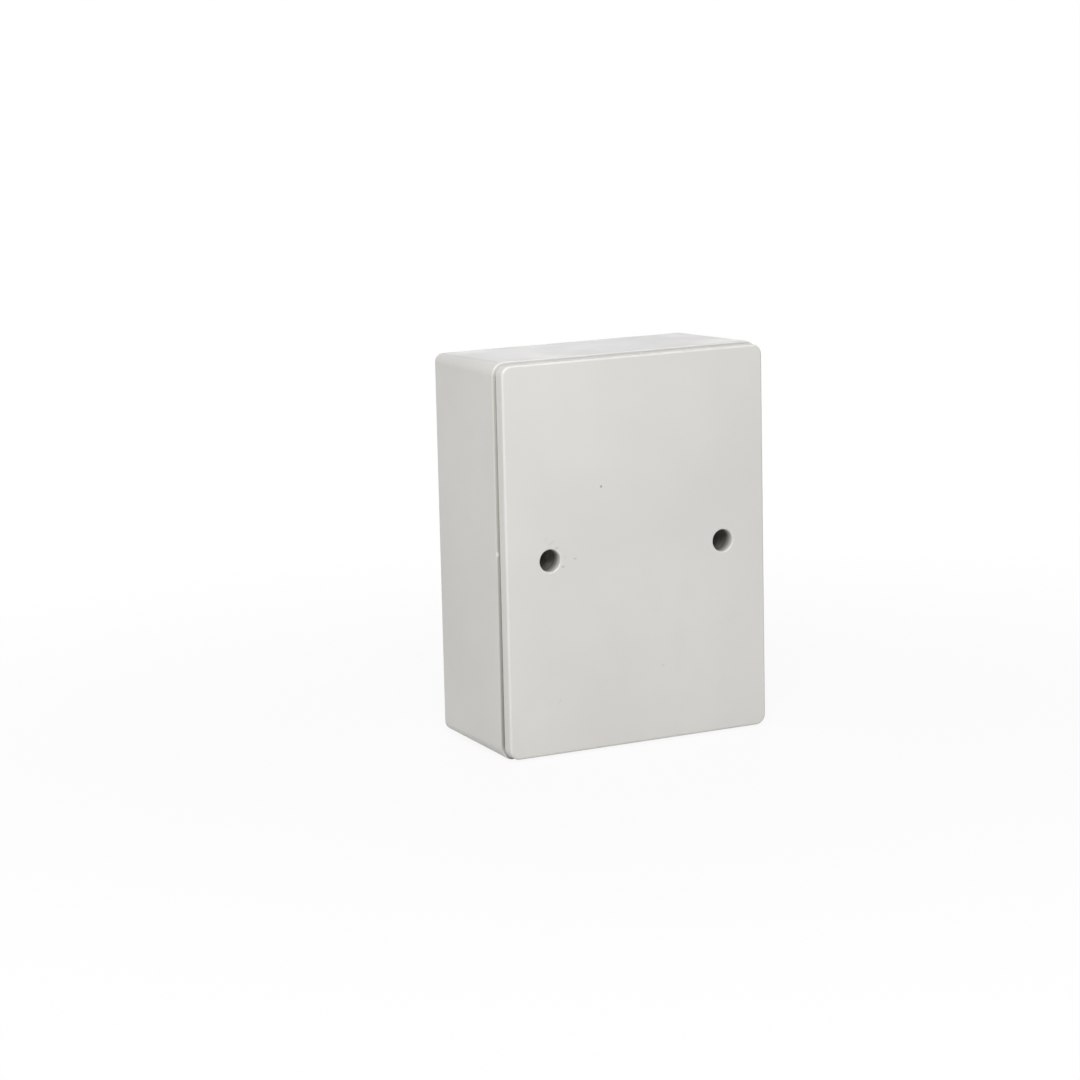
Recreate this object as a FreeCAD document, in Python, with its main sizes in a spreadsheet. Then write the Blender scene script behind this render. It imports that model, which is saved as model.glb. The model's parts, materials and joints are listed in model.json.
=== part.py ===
import FreeCAD, Part
import math
import os
import re
import Sketcher

# Surface-mounted staircase timer switch.
# Frame: origin at the centre of the wall face, +Z up, the wall on the +Y side, the front on
# the -Y side. A depth is counted from the wall face toward the front, so Y = -depth. A
# height above the circuit board counts from the board's component side toward the front.

# Every driving size, in millimetres or degrees
SIZES = {
    # Case: front shell, closed at the wall side by the rear plate
    "case_width": 50.4,
    "case_height": 66.8,
    "case_depth": 26.0,
    "wall": 2.0,
    "front_wall": 2.0,
    "wall_draft": 1.85,
    "shell_corner": 2.2,
    "inner_corner": 1.0,
    "front_edge_round": 1.0,
    "rim_edge_round": 0.25,
    "plate_proud": 2.6,
    "plate_inset": 0.41,
    "plate_corner": 1.8,
    "plate_edge_round": 0.4,
    "groove_gap": 0.5,
    "groove_depth": 0.9,
    "plate_rim_height": 2.2,
    "plate_rim_thick": 1.2,
    "plate_rim_clear": 0.12,
    "plate_rim_break": 12.0,
    # Wall screws: two holes through plate and pillars
    "wall_screw_spacing": 33.2,
    "wall_screw_hole": 3.8,
    "hole_edge_round": 0.25,
    "screw_head_hole": 7.2,
    "screw_head_depth": 3.0,
    "pillar_width": 7.8,
    "pillar_shoulder": 8.8,
    "spigot_width": 5.6,
    "spigot_length": 3.0,
    "spigot_clear": 0.1,
    # Circuit board and what holds it
    "solder_room": 2.8,
    "board_thick": 1.6,
    "board_side_gap": 0.7,
    "board_end_gap": 0.6,
    "board_corner": 1.0,
    "board_hole_clear": 0.4,
    "post_from_side": 6.8,
    "post_from_end": 6.2,
    "post_width": 5.4,
    "post_pilot": 1.9,
    "post_pilot_depth": 8.0,
    "board_screw_width": 2.2,
    "board_screw_length": 6.0,
    "board_screw_head": 4.2,
    "board_screw_head_high": 1.4,
    "lead_width": 0.7,
    "lead_hole": 1.0,
    "lead_tail": 1.3,
    "solder_width": 1.6,
    "solder_high": 0.8,
    # Front of the case: label, dial, lamp
    "label_width": 41.0,
    "label_height": 23.0,
    "label_from_top": 15.0,
    "label_corner": 1.5,
    "label_thick": 0.25,
    "label_recess": 0.4,
    "label_clear": 0.15,
    "marking_height": 3.8,
    "marking_recess": 0.3,
    "marking_gap": 0.8,
    "dial_x": -5.0,
    "dial_width": 9.6,
    "dial_hole_clear": 0.3,
    "dial_sunk": 0.2,
    "dial_edge_round": 0.4,
    "dial_flange": 12.0,
    "dial_flange_thick": 1.0,
    "dial_flange_clear": 0.4,
    "dial_stem": 8.4,
    "dial_crown": 2.8,
    "dial_bore_depth": 6.6,
    "dial_bore_clear": 0.05,
    "dial_slot_wide": 1.4,
    "dial_slot_long": 7.6,
    "dial_slot_deep": 1.2,
    "dial_mark_wide": 0.8,
    "dial_mark_long": 1.4,
    "dial_mark_deep": 0.4,
    "lamp_x": 12.0,
    "lamp_width": 3.0,
    "lamp_flange": 3.8,
    "lamp_flange_high": 1.0,
    "lamp_hole_clear": 0.15,
    "lamp_sunk": 0.1,
    "lamp_dome_round": 1.2,
    "lamp_body_high": 4.6,
    "lamp_lead_pitch": 2.54,
    "spacer_width": 5.0,
    "spacer_bore": 0.9,
    # Setting potentiometer under the dial
    "pot_case_size": 11.0,
    "pot_case_high": 5.0,
    "pot_case_round": 0.6,
    "pot_cavity": 9.2,
    "pot_top": 0.8,
    "track_width": 9.0,
    "track_thick": 1.0,
    "shaft_width": 6.0,
    "shaft_clear": 0.06,
    "shaft_flange": 8.4,
    "shaft_flange_thick": 0.8,
    "shaft_flange_clear": 0.2,
    "shaft_flat": 1.5,
    "shaft_flat_long": 7.0,
    "wiper_wide": 1.2,
    "wiper_thick": 0.25,
    "wiper_reach": 3.6,
    "wiper_clear": 0.05,
    "wiper_tip": 0.8,
    "pot_pin_pitch": 2.54,
    "pot_pin_z": -3.0,
    # Terminals: four ways with rising cages
    "way_pitch": 9.6,
    "term_end_wall": 0.5,
    "term_clear": 0.3,
    "term_depth": 11.5,
    "term_front_gap": 0.4,
    "term_mouth": 3.0,
    "cage_wall": 0.8,
    "cage_floor_gap": 1.0,
    "cage_inner_wide": 4.0,
    "cage_inner_high": 4.6,
    "cage_top": 2.0,
    "cage_length": 5.0,
    "cage_clear": 0.2,
    "cage_travel": 2.6,
    "tab_gap": 3.4,
    "tab_thick": 0.8,
    "tab_wide": 3.4,
    "tab_leg_depth": 0.8,
    "tab_past_cage": 1.3,
    "tab_clear": 0.2,
    "tab_pin": 1.1,
    "tab_pin_hole": 1.4,
    "tab_solder": 2.4,
    "shank_width": 3.0,
    "shank_clear": 0.05,
    "shank_tip_gap": 0.3,
    "neck_web": 0.8,
    "neck_clear": 0.2,
    "head_width": 4.4,
    "head_high": 2.4,
    "head_clear": 0.8,
    "head_edge": 0.3,
    "head_slot_wide": 0.9,
    "head_slot_deep": 1.1,
    "access_hole": 6.0,
    "wire_window": 5.0,
    # Relay
    "relay_x": -4.2,
    "relay_width": 12.7,
    "relay_end_gap": 1.57,
    "relay_front_gap": 1.4,
    "relay_cover_wall": 0.8,
    "relay_clear": 0.1,
    "relay_base_high": 1.8,
    "yoke_top_gap": 0.4,
    "core_width": 4.0,
    "core_clear": 0.05,
    "bobbin_tube_wall": 0.6,
    "bobbin_flange_wide": 9.4,
    "bobbin_flange_high": 8.4,
    "bobbin_flange_thick": 0.8,
    "blade_end_room": 4.55,
    "coil_width": 8.0,
    "coil_clear": 0.05,
    "yoke_thick": 1.2,
    "yoke_wide": 8.0,
    "yoke_end_gap": 1.9,
    "core_nose": 1.1,
    "pole_gap": 0.4,
    "armature_thick": 1.0,
    "armature_clear": 0.05,
    "armature_foot": 4.9,
    "armature_head": 0.2,
    "blade_thick": 0.2,
    "blade_wide": 4.4,
    "blade_past_yoke": 0.6,
    "contact_width": 2.2,
    "contact_height": 3.2,
    "moving_contact_thick": 0.6,
    "fixed_contact_thick": 0.5,
    "contact_gap": 0.6,
    "fixed_blade_thick": 0.6,
    "fixed_blade_wide": 3.0,
    "relay_pin": 1.0,
    "relay_pin_hole": 1.3,
    "relay_solder": 2.2,
    "coil_pin_spread": 7.6,
    "coil_pin_high": 4.0,
    # Other parts on the board
    "part_gap": 0.45,
    "dropper_width": 7.6,
    "dropper_length": 18.0,
    "dropper_high": 13.5,
    "dropper_round": 0.8,
    "dropper_pitch": 15.0,
    "can_width": 8.0,
    "can_high": 12.0,
    "can_top_round": 0.6,
    "can_groove_high": 1.6,
    "can_groove_deep": 0.4,
    "can_groove_wide": 0.8,
    "can_pitch": 3.5,
    "varistor_width": 8.6,
    "varistor_thick": 3.8,
    "varistor_lift": 0.6,
    "varistor_pitch": 5.0,
    "fuse_width": 8.4,
    "fuse_thick": 4.3,
    "fuse_round": 0.6,
    "fuse_high": 7.7,
    "fuse_pitch": 5.08,
    "bridge_width": 8.8,
    "bridge_high": 5.4,
    "bridge_from_end": 14.0,
    "bridge_flat": 0.6,
    "bridge_pitch": 5.08,
    "chip_width": 6.4,
    "chip_length": 9.6,
    "chip_high": 3.3,
    "chip_lift": 0.5,
    "chip_row_spacing": 7.62,
    "chip_leg_pitch": 2.54,
    "chip_leg_wide": 1.0,
    "chip_leg_thick": 0.3,
    "chip_notch": 1.6,
    "chip_notch_deep": 0.8,
    "transistor_width": 4.7,
    "transistor_high": 4.6,
    "transistor_lift": 1.0,
    "transistor_flat": 1.2,
    "transistor_pitch": 1.9,
    "resistor_width": 2.4,
    "resistor_waist": 2.0,
    "resistor_length": 6.2,
    "resistor_end": 1.5,
    "resistor_pitch": 8.4,
    "resistor_wire": 0.6,
    "resistor_lift": 0.1,
    "top_row_from_end": 5.4,
    "lying_pitch": 2.9,
    "resistor_a_x": -6.0,
    "resistor_b_x": 7.0,
    "zener_width": 1.9,
    "zener_length": 4.0,
}

doc = FreeCAD.newDocument("staircase_timer")
sheet = doc.addObject("Spreadsheet::Sheet", "sizes")
for row, (alias, value) in enumerate(SIZES.items(), start=1):
    sheet.set(f"A{row}", alias.replace("_", " "))
    sheet.set(f"B{row}", str(value))
    sheet.setAlias(f"B{row}", alias)
doc.recompute()

# Places that several pieces share, as formulas of the sizes
BOARD_REAR = "(plate_proud + solder_room)"
BOARD_FACE = f"({BOARD_REAR} + board_thick)"
FRONT_INSIDE = "(case_depth - front_wall)"
DRAFT_LOSS = "((case_depth - plate_proud) * tan(wall_draft * 1deg))"
HALF_INSIDE_HIGH = f"(case_height / 2 - wall - {DRAFT_LOSS})"
CAGE_HIGH = "(cage_wall + cage_inner_high + cage_top)"
CAGE_ROOM = f"(cage_floor_gap + {CAGE_HIGH} + cage_travel + cage_clear)"
HEAD_SEAT = f"({CAGE_ROOM} + neck_web)"
TAB_FOOT = "(cage_floor_gap + cage_wall + tab_gap)"
WIRE_HEIGHT = f"({TAB_FOOT} - tab_gap / 2)"
TERM_LOW = f"(-{HALF_INSIDE_HIGH} + term_clear)"
CAGE_ROOM_LOW = f"({TERM_LOW} + term_mouth)"
CAGE_Z = f"({CAGE_ROOM_LOW} + cage_clear + cage_length / 2)"
CAGE_ROOM_TOP = f"({CAGE_ROOM_LOW} + cage_length + 2 * cage_clear)"
TAB_TOP = f"({CAGE_ROOM_TOP} + tab_past_cage)"
TERM_TOP = f"({TERM_LOW} + term_depth)"
TERM_HIGH = f"({FRONT_INSIDE} - {BOARD_FACE} - term_front_gap)"
TAB_PIN_Z = f"({TAB_TOP} - tab_leg_depth / 2)"
WAYS = [f"({index - 1.5} * way_pitch)" for index in range(4)]
PILLARS = ["(-wall_screw_spacing / 2)", "(wall_screw_spacing / 2)"]
POSTS = ["(post_from_side - case_width / 2)", "(case_width / 2 - post_from_side)"]
POST_Z = "(case_height / 2 - post_from_end)"
LABEL_Z = "(case_height / 2 - label_from_top)"
MARKING_Z = f"({CAGE_Z} + access_hole / 2 + marking_gap + marking_height / 2)"
POT_LOW = f"({LABEL_Z} - pot_case_size / 2)"
SHAFT_TOP = "(case_depth - dial_sunk - dial_crown)"

# Relay: it fills the room between the terminals and the potentiometer, up to the front wall
RELAY_LENGTH = f"({POT_LOW} - {TERM_TOP} - 2 * relay_end_gap)"
RELAY_Z = f"(({POT_LOW} + {TERM_TOP}) / 2)"
RELAY_HIGH = f"({FRONT_INSIDE} - {BOARD_FACE} - relay_front_gap)"
RELAY_LEFT = "(relay_x - relay_width / 2)"
RELAY_RIGHT = "(relay_x + relay_width / 2)"
YOKE_UNDER = f"({RELAY_HIGH} - relay_cover_wall - yoke_top_gap - yoke_thick)"
COIL_HEIGHT = f"({YOKE_UNDER} - bobbin_flange_high / 2)"

# Relay stations along its length, counted from its centre
RELAY_INSIDE = f"({RELAY_LENGTH} / 2 - relay_cover_wall)"
BLADE_ROOM = "(armature_clear + armature_thick + blade_thick + blade_end_room)"
YOKE_START = f"(-{RELAY_INSIDE} + yoke_end_gap)"
FLANGE_A = f"({YOKE_START} + yoke_thick)"
COIL_START = f"({FLANGE_A} + bobbin_flange_thick)"
FLANGE_B = f"({RELAY_INSIDE} - {BLADE_ROOM} - pole_gap - core_nose - bobbin_flange_thick)"
CORE_END = f"({FLANGE_B} + bobbin_flange_thick + core_nose)"
YOKE_END = f"({CORE_END} + pole_gap)"
ARMATURE_IN = f"({YOKE_END} + armature_clear)"
BLADE_IN = f"({ARMATURE_IN} + armature_thick)"
MOVING_FACE = f"({BLADE_IN} - moving_contact_thick)"
FIXED_FACE = f"({MOVING_FACE} - contact_gap)"
FIXED_BLADE = f"({FIXED_FACE} - fixed_contact_thick)"
FIXED_BLADE_MID = f"({FIXED_BLADE} - fixed_blade_thick / 2)"
FIXED_PIN_Z = f"({RELAY_Z} + {FIXED_BLADE_MID})"
YOKE_PIN_Z = f"({RELAY_Z} + {YOKE_START} + yoke_thick / 2)"
COIL_PIN_Z = f"({RELAY_Z} + {YOKE_START} - yoke_end_gap / 2)"

# Places of the other parts: each stands a gap away from its neighbour
CHIP_X = f"({RELAY_LEFT} - part_gap - (chip_row_spacing + chip_leg_thick) / 2)"
CHIP_Z = f"(({TERM_TOP} - pillar_shoulder / 2) / 2)"
FUSE_X = f"({RELAY_LEFT} - part_gap - fuse_width / 2)"
FUSE_Z = "((pillar_shoulder + fuse_thick) / 2 + part_gap)"
BRIDGE_X = "(dial_x - (pot_case_size + bridge_width) / 2 - part_gap)"
BRIDGE_Z = "(case_height / 2 - bridge_from_end)"
DROPPER_X = f"({RELAY_RIGHT} + part_gap + dropper_width / 2)"
DROPPER_Z = f"({TERM_TOP} + part_gap + dropper_length / 2)"
CAN_X = f"({RELAY_RIGHT} + part_gap + can_width / 2)"
CAN_Z = f"({DROPPER_Z} + (dropper_length + can_width) / 2 + part_gap)"
VARISTOR_X = f"({CAN_X} + (can_width + varistor_width) / 2 + part_gap)"
VARISTOR_Z = "((pillar_shoulder + varistor_thick) / 2 + part_gap)"
SIDE_X = f"({DROPPER_X} + (dropper_width + resistor_pitch + resistor_wire) / 2 + part_gap)"
ZENER_Z = f"({TERM_TOP} + part_gap + zener_width / 2)"
RESISTOR_C_Z = f"({ZENER_Z} + lying_pitch)"
TRANSISTOR_Z = "(-(pillar_shoulder + transistor_width) / 2 - part_gap)"
TOP_ROW_Z = "(case_height / 2 - top_row_from_end)"

ALIAS = re.compile(r"\b(" + "|".join(sorted(SIZES, key=len, reverse=True)) + r")\b")
subparts = []


def formula(text):
    """The same formula with each size read from the sheet."""
    return ALIAS.sub(r"sizes.\1", text)


def bind(item, prop, text):
    """Tie a property to a formula of the sizes."""
    item.setExpression(prop, formula(text))


def size_of(text):
    """A formula's present value, for a sketch's first drawing."""
    return float(FreeCAD.Units.Quantity(sheet.evalExpression(formula(text))).Value)


def keep(item):
    """Enter a finished sub-part, which is written under its label."""
    subparts.append(item)
    return item


# Part primitives

def block(name, x, z, depth, wide, tall, deep):
    """Box centred on x and z, from a depth toward the front."""
    item = doc.addObject("Part::Box", name)
    bind(item, "Length", wide)
    bind(item, "Width", deep)
    bind(item, "Height", tall)
    bind(item, "Placement.Base.x", f"{x} - ({wide}) / 2")
    bind(item, "Placement.Base.y", f"-({depth}) - ({deep})")
    bind(item, "Placement.Base.z", f"{z} - ({tall}) / 2")
    return item


def cylinder(name, turn, x, depth, z, width, length):
    """Round bar of a width, turned from +Z by a rotation, that starts at x, depth, z."""
    item = doc.addObject("Part::Cylinder", name)
    item.Placement = FreeCAD.Placement(FreeCAD.Vector(), turn)
    bind(item, "Radius", f"({width}) / 2")
    bind(item, "Height", length)
    bind(item, "Placement.Base.x", x)
    bind(item, "Placement.Base.y", f"-({depth})")
    bind(item, "Placement.Base.z", z)
    return item


TO_FRONT = FreeCAD.Rotation(FreeCAD.Vector(1, 0, 0), 90)
TO_RIGHT = FreeCAD.Rotation(FreeCAD.Vector(0, 1, 0), 90)
UPWARD = FreeCAD.Rotation()


def rod(name, x, z, depth, width, deep):
    """Round bar along the depth."""
    return cylinder(name, TO_FRONT, x, depth, z, width, deep)


def solder_cone(name, x, z, width, pin):
    """Cone of solder on the board's rear side, round a pin."""
    item = doc.addObject("Part::Cone", name)
    item.Placement = FreeCAD.Placement(FreeCAD.Vector(), TO_FRONT)
    bind(item, "Radius1", f"({pin}) / 2")
    bind(item, "Radius2", f"({width}) / 2")
    bind(item, "Height", "solder_high")
    bind(item, "Placement.Base.x", x)
    bind(item, "Placement.Base.y", f"-({BOARD_REAR} - solder_high)")
    bind(item, "Placement.Base.z", z)
    return item


def soldered_pin(name, x, z, pin, width, above="0"):
    """Round pin through the board to its solder, from a height above the board."""
    tail = rod(name + "_tail", x, z, f"{BOARD_REAR} - lead_tail", pin, f"board_thick + lead_tail + {above}")
    cone = solder_cone(name + "_solder", x, z, width, pin)
    return fuse(name, [tail, cone])


def fuse(name, items):
    item = doc.addObject("Part::MultiFuse", name)
    item.Shapes = items
    return item


def group(name, items):
    """Separate solids under one name."""
    item = doc.addObject("Part::Compound", name)
    item.Links = items
    return item


def cut(name, base, tools):
    item = doc.addObject("Part::Cut", name)
    item.Base = base
    item.Tool = tools[0] if len(tools) == 1 else group(name + "_tools", tools)
    return item


# PartDesign bodies and sketches

def plane(body, role):
    return [item for item in body.Origin.OriginFeatures if item.Role == role][0]


def sketch_on(body, name, role, offset):
    """Sketch on one of the body's own planes, moved along its normal."""
    sketch = body.newObject("Sketcher::SketchObject", name)
    sketch.AttachmentSupport = [(plane(body, role), "")]
    sketch.MapMode = "FlatFace"
    bind(sketch, ".AttachmentOffset.Base.z", offset)
    return sketch


def front_sketch(body, name, depth):
    """Sketch square to the depth: its axes are X and Z, its normal points to the front."""
    return sketch_on(body, name, "XZ_Plane", depth)


def pin_down(sketch, geometry, point, x, y):
    """Fix a point of a sketch at x and y."""
    for kind, text in (("DistanceX", x), ("DistanceY", y)):
        index = sketch.addConstraint(
            Sketcher.Constraint(kind, -1, 1, geometry, point, size_of(text)))
        bind(sketch, f"Constraints[{index}]", text)


def polygon(sketch, points):
    """Closed outline of straight lines through points given as formulas."""
    first = len(sketch.Geometry)
    count = len(points)
    spots = [FreeCAD.Vector(size_of(x), size_of(y), 0) for x, y in points]
    for index in range(count):
        sketch.addGeometry(Part.LineSegment(spots[index], spots[(index + 1) % count]), False)
    for index in range(count):
        after = first + (index + 1) % count
        sketch.addConstraint(Sketcher.Constraint("Coincident", first + index, 2, after, 1))
    for index, (x, y) in enumerate(points):
        pin_down(sketch, first + index, 1, x, y)


def rectangle(sketch, x, y, wide, tall):
    polygon(sketch, [
        (f"{x} - ({wide}) / 2", f"{y} - ({tall}) / 2"),
        (f"{x} + ({wide}) / 2", f"{y} - ({tall}) / 2"),
        (f"{x} + ({wide}) / 2", f"{y} + ({tall}) / 2"),
        (f"{x} - ({wide}) / 2", f"{y} + ({tall}) / 2"),
    ])


def circle(sketch, x, y, width):
    index = sketch.addGeometry(Part.Circle(
        FreeCAD.Vector(size_of(x), size_of(y), 0), FreeCAD.Vector(0, 0, 1), size_of(width) / 2), False)
    pin_down(sketch, index, 3, x, y)
    number = sketch.addConstraint(Sketcher.Constraint("Diameter", index, size_of(width)))
    bind(sketch, f"Constraints[{number}]", width)


def rounded_rectangle(sketch, x, y, wide, tall, corner):
    """Rectangle with four equal round corners, drawn by its corner centres."""
    first = len(sketch.Geometry)
    radius = size_of(corner)
    signs = [(-1, -1), (1, -1), (1, 1), (-1, 1)]
    centres = [(f"{x} + {sx} * (({wide}) / 2 - {corner})", f"{y} + {sy} * (({tall}) / 2 - {corner})")
               for sx, sy in signs]
    up = FreeCAD.Vector(0, 0, 1)
    quarter = math.pi / 2
    for index, (cx, cy) in enumerate(centres):
        start = (index + 2) * quarter
        round_edge = Part.Circle(FreeCAD.Vector(size_of(cx), size_of(cy), 0), up, radius)
        sketch.addGeometry(Part.ArcOfCircle(round_edge, start, start + quarter), False)
    for index in range(4):
        arc = sketch.Geometry[first + index]
        following = sketch.Geometry[first + (index + 1) % 4]
        sketch.addGeometry(Part.LineSegment(arc.EndPoint, following.StartPoint), False)
    for index, (cx, cy) in enumerate(centres):
        line = first + 4 + index
        sketch.addConstraint(Sketcher.Constraint("Tangent", first + index, 2, line, 1))
        sketch.addConstraint(Sketcher.Constraint("Tangent", line, 2, first + (index + 1) % 4, 1))
        sketch.addConstraint(Sketcher.Constraint("Horizontal" if index % 2 == 0 else "Vertical", line))
    for index in range(1, 4):
        sketch.addConstraint(Sketcher.Constraint("Equal", first, first + index))
    number = sketch.addConstraint(Sketcher.Constraint("Radius", first, radius))
    bind(sketch, f"Constraints[{number}]", corner)
    pin_down(sketch, first, 3, *centres[0])
    pin_down(sketch, first + 2, 3, *centres[2])


def pad(body, name, sketch, length, taper=None):
    item = body.newObject("PartDesign::Pad", name)
    item.Profile = (sketch, [""])
    bind(item, "Length", length)
    if taper:
        bind(item, "TaperAngle", taper)
    return item


def pocket(body, name, sketch, length, along=False, taper=None):
    """Cut against the sketch's normal, or along it."""
    item = body.newObject("PartDesign::Pocket", name)
    item.Profile = (sketch, [""])
    item.Reversed = along
    bind(item, "Length", length)
    if taper:
        bind(item, "TaperAngle", taper)
    return item


def round_edges(body, name, base, radius, wanted):
    """Fillet the edges of a feature that a test picks."""
    doc.recompute()
    names = [f"Edge{index}" for index, edge in enumerate(base.Shape.Edges, start=1) if wanted(edge)]
    item = body.newObject("PartDesign::Fillet", name)
    item.Base = (base, names)
    bind(item, "Radius", radius)
    return item


def lies_at_depth(depth):
    """Test for edges that lie wholly at one depth."""
    level = -size_of(depth)
    return lambda edge: edge.BoundBox.YLength < 0.001 and abs(edge.BoundBox.YMin - level) < 0.001


def closed_rim_at_depth(depth):
    """Test for a hole's full circle at one depth."""
    level = lies_at_depth(depth)
    return lambda edge: level(edge) and edge.isClosed()


def new_body(name):
    return doc.addObject("PartDesign::Body", name)


def turned(name, x, z, profile):
    """Body of revolution along the depth, from radius and depth pairs."""
    body = new_body(name)
    bind(body, ".Placement.Base.x", x)
    bind(body, ".Placement.Base.z", z)
    sketch = sketch_on(body, name + "_profile", "XY_Plane", "0")
    polygon(sketch, [(radius, f"-({depth})") for radius, depth in profile])
    turn = body.newObject("PartDesign::Revolution", name + "_turn")
    turn.Profile = (sketch, [""])
    turn.ReferenceAxis = (sketch, ["V_Axis"])
    turn.Angle = 360
    return body


def above_board(height):
    return f"({BOARD_FACE} + {height})"


# Front shell: drafted box open at the wall side, with pillars, board posts and all openings

def make_front_shell():
    body = new_body("front_shell")
    outer = front_sketch(body, "shell_outline", "plate_proud")
    rounded_rectangle(outer, "0", "0", "case_width", "case_height", "shell_corner")
    block_out = pad(body, "shell_block", outer, "case_depth - plate_proud", "-wall_draft")
    front_round = round_edges(body, "front_edge", block_out, "front_edge_round",
                              lies_at_depth("case_depth"))
    round_edges(body, "rim_edge", front_round, "rim_edge_round", lies_at_depth("plate_proud"))

    inside = front_sketch(body, "shell_inside", "plate_proud")
    rounded_rectangle(inside, "0", "0", "case_width - 2 * wall", "case_height - 2 * wall", "inner_corner")
    pocket(body, "shell_cavity", inside, f"{FRONT_INSIDE} - plate_proud", True, "-wall_draft")

    pillars = front_sketch(body, "pillar_outline", "plate_proud")
    for x in PILLARS:
        circle(pillars, x, "0", "pillar_width")
    pad(body, "pillars", pillars, f"{FRONT_INSIDE} - plate_proud")
    shoulders = front_sketch(body, "shoulder_outline", BOARD_FACE)
    for x in PILLARS:
        circle(shoulders, x, "0", "pillar_shoulder")
    pad(body, "pillar_shoulders", shoulders, f"{FRONT_INSIDE} - {BOARD_FACE}")
    posts = front_sketch(body, "post_outline", BOARD_FACE)
    for x in POSTS:
        circle(posts, x, POST_Z, "post_width")
    pad(body, "board_posts", posts, f"{FRONT_INSIDE} - {BOARD_FACE}")

    pilots = front_sketch(body, "pilot_outline", BOARD_FACE)
    for x in POSTS:
        circle(pilots, x, POST_Z, "post_pilot")
    pocket(body, "post_pilots", pilots, "post_pilot_depth", True)
    sockets = front_sketch(body, "socket_outline", "plate_proud")
    for x in PILLARS:
        circle(sockets, x, "0", "spigot_width + 2 * spigot_clear")
    pocket(body, "spigot_sockets", sockets, "spigot_length + spigot_clear", True)
    bores = front_sketch(body, "bore_outline", "0")
    for x in PILLARS:
        circle(bores, x, "0", "wall_screw_hole")
    pocket(body, "wall_screw_bores", bores, "case_depth", True)
    heads = front_sketch(body, "screw_head_outline", "case_depth")
    for x in PILLARS:
        circle(heads, x, "0", "screw_head_hole")
    pocket(body, "screw_head_seats", heads, "screw_head_depth")

    label = front_sketch(body, "label_outline", "case_depth")
    rounded_rectangle(label, "0", LABEL_Z, "label_width + 2 * label_clear",
                      "label_height + 2 * label_clear", "label_corner + label_clear")
    pocket(body, "label_seat", label, "label_recess")
    marking = front_sketch(body, "marking_outline", "case_depth")
    rounded_rectangle(marking, "0", MARKING_Z, "4 * way_pitch", "marking_height", "inner_corner")
    pocket(body, "marking_field", marking, "marking_recess")
    openings = front_sketch(body, "front_openings", "case_depth")
    circle(openings, "dial_x", LABEL_Z, "dial_width + 2 * dial_hole_clear")
    circle(openings, "lamp_x", LABEL_Z, "lamp_width + 2 * lamp_hole_clear")
    for x in WAYS:
        circle(openings, x, CAGE_Z, "access_hole")
    pocket(body, "front_holes", openings, "front_wall")
    windows = sketch_on(body, "window_outline", "XY_Plane", "-case_height / 2")
    for x in WAYS:
        rectangle(windows, x, f"-({BOARD_FACE} + {WIRE_HEIGHT})", "wire_window", "wire_window")
    pocket(body, "wire_windows", windows, f"wall + {DRAFT_LOSS}", True)
    return keep(body)


# Rear plate: closes the shell, with a locating rim and a spigot round each screw hole

def make_rear_plate():
    body = new_body("rear_plate")
    outer = front_sketch(body, "plate_outline", "0")
    rounded_rectangle(outer, "0", "0", "case_width - 2 * plate_inset",
                      "case_height - 2 * plate_inset", "plate_corner")
    slab = pad(body, "plate_slab", outer, "plate_proud - groove_gap")
    round_edges(body, "plate_edge", slab, "plate_edge_round", lies_at_depth("0"))
    neck = front_sketch(body, "neck_outline", "plate_proud - groove_gap")
    rounded_rectangle(neck, "0", "0", "case_width - 2 * plate_inset - 2 * groove_depth",
                      "case_height - 2 * plate_inset - 2 * groove_depth", "inner_corner")
    pad(body, "plate_neck", neck, "groove_gap")
    rim = front_sketch(body, "plate_rim_outline", "plate_proud")
    rounded_rectangle(rim, "0", "0", "case_width - 2 * wall - 2 * plate_rim_clear",
                      "case_height - 2 * wall - 2 * plate_rim_clear", "inner_corner")
    rounded_rectangle(rim, "0", "0", "case_width - 2 * (wall + plate_rim_clear + plate_rim_thick)",
                      "case_height - 2 * (wall + plate_rim_clear + plate_rim_thick)", "inner_corner")
    pad(body, "plate_rim", rim, "plate_rim_height", "-wall_draft")
    breaks = front_sketch(body, "rim_break_outline", "plate_proud")
    rectangle(breaks, "0", "0", "case_width", "plate_rim_break")
    pocket(body, "rim_breaks", breaks, "plate_rim_height", True)
    spigots = front_sketch(body, "spigot_outline", "plate_proud")
    for x in PILLARS:
        circle(spigots, x, "0", "spigot_width")
    pad(body, "spigots", spigots, "spigot_length")
    bores = front_sketch(body, "plate_bore_outline", "0")
    for x in PILLARS:
        circle(bores, x, "0", "wall_screw_hole")
    pocket(body, "plate_bores", bores, "plate_proud + spigot_length", True)
    round_edges(body, "bore_edge", body.Tip, "hole_edge_round", closed_rim_at_depth("0"))
    return keep(body)


# Printed scale in the front's shallow seat

def make_scale_label():
    body = new_body("scale_label")
    sheet_outline = front_sketch(body, "sheet_outline", "case_depth - label_recess")
    rounded_rectangle(sheet_outline, "0", LABEL_Z, "label_width", "label_height", "label_corner")
    circle(sheet_outline, "dial_x", LABEL_Z, "dial_width + 2 * dial_hole_clear")
    circle(sheet_outline, "lamp_x", LABEL_Z, "lamp_width + 2 * lamp_hole_clear")
    pad(body, "label_sheet", sheet_outline, "label_thick")
    return keep(body)


# Dial, with its shaft and wiper, and the potentiometer that it sets

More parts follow.
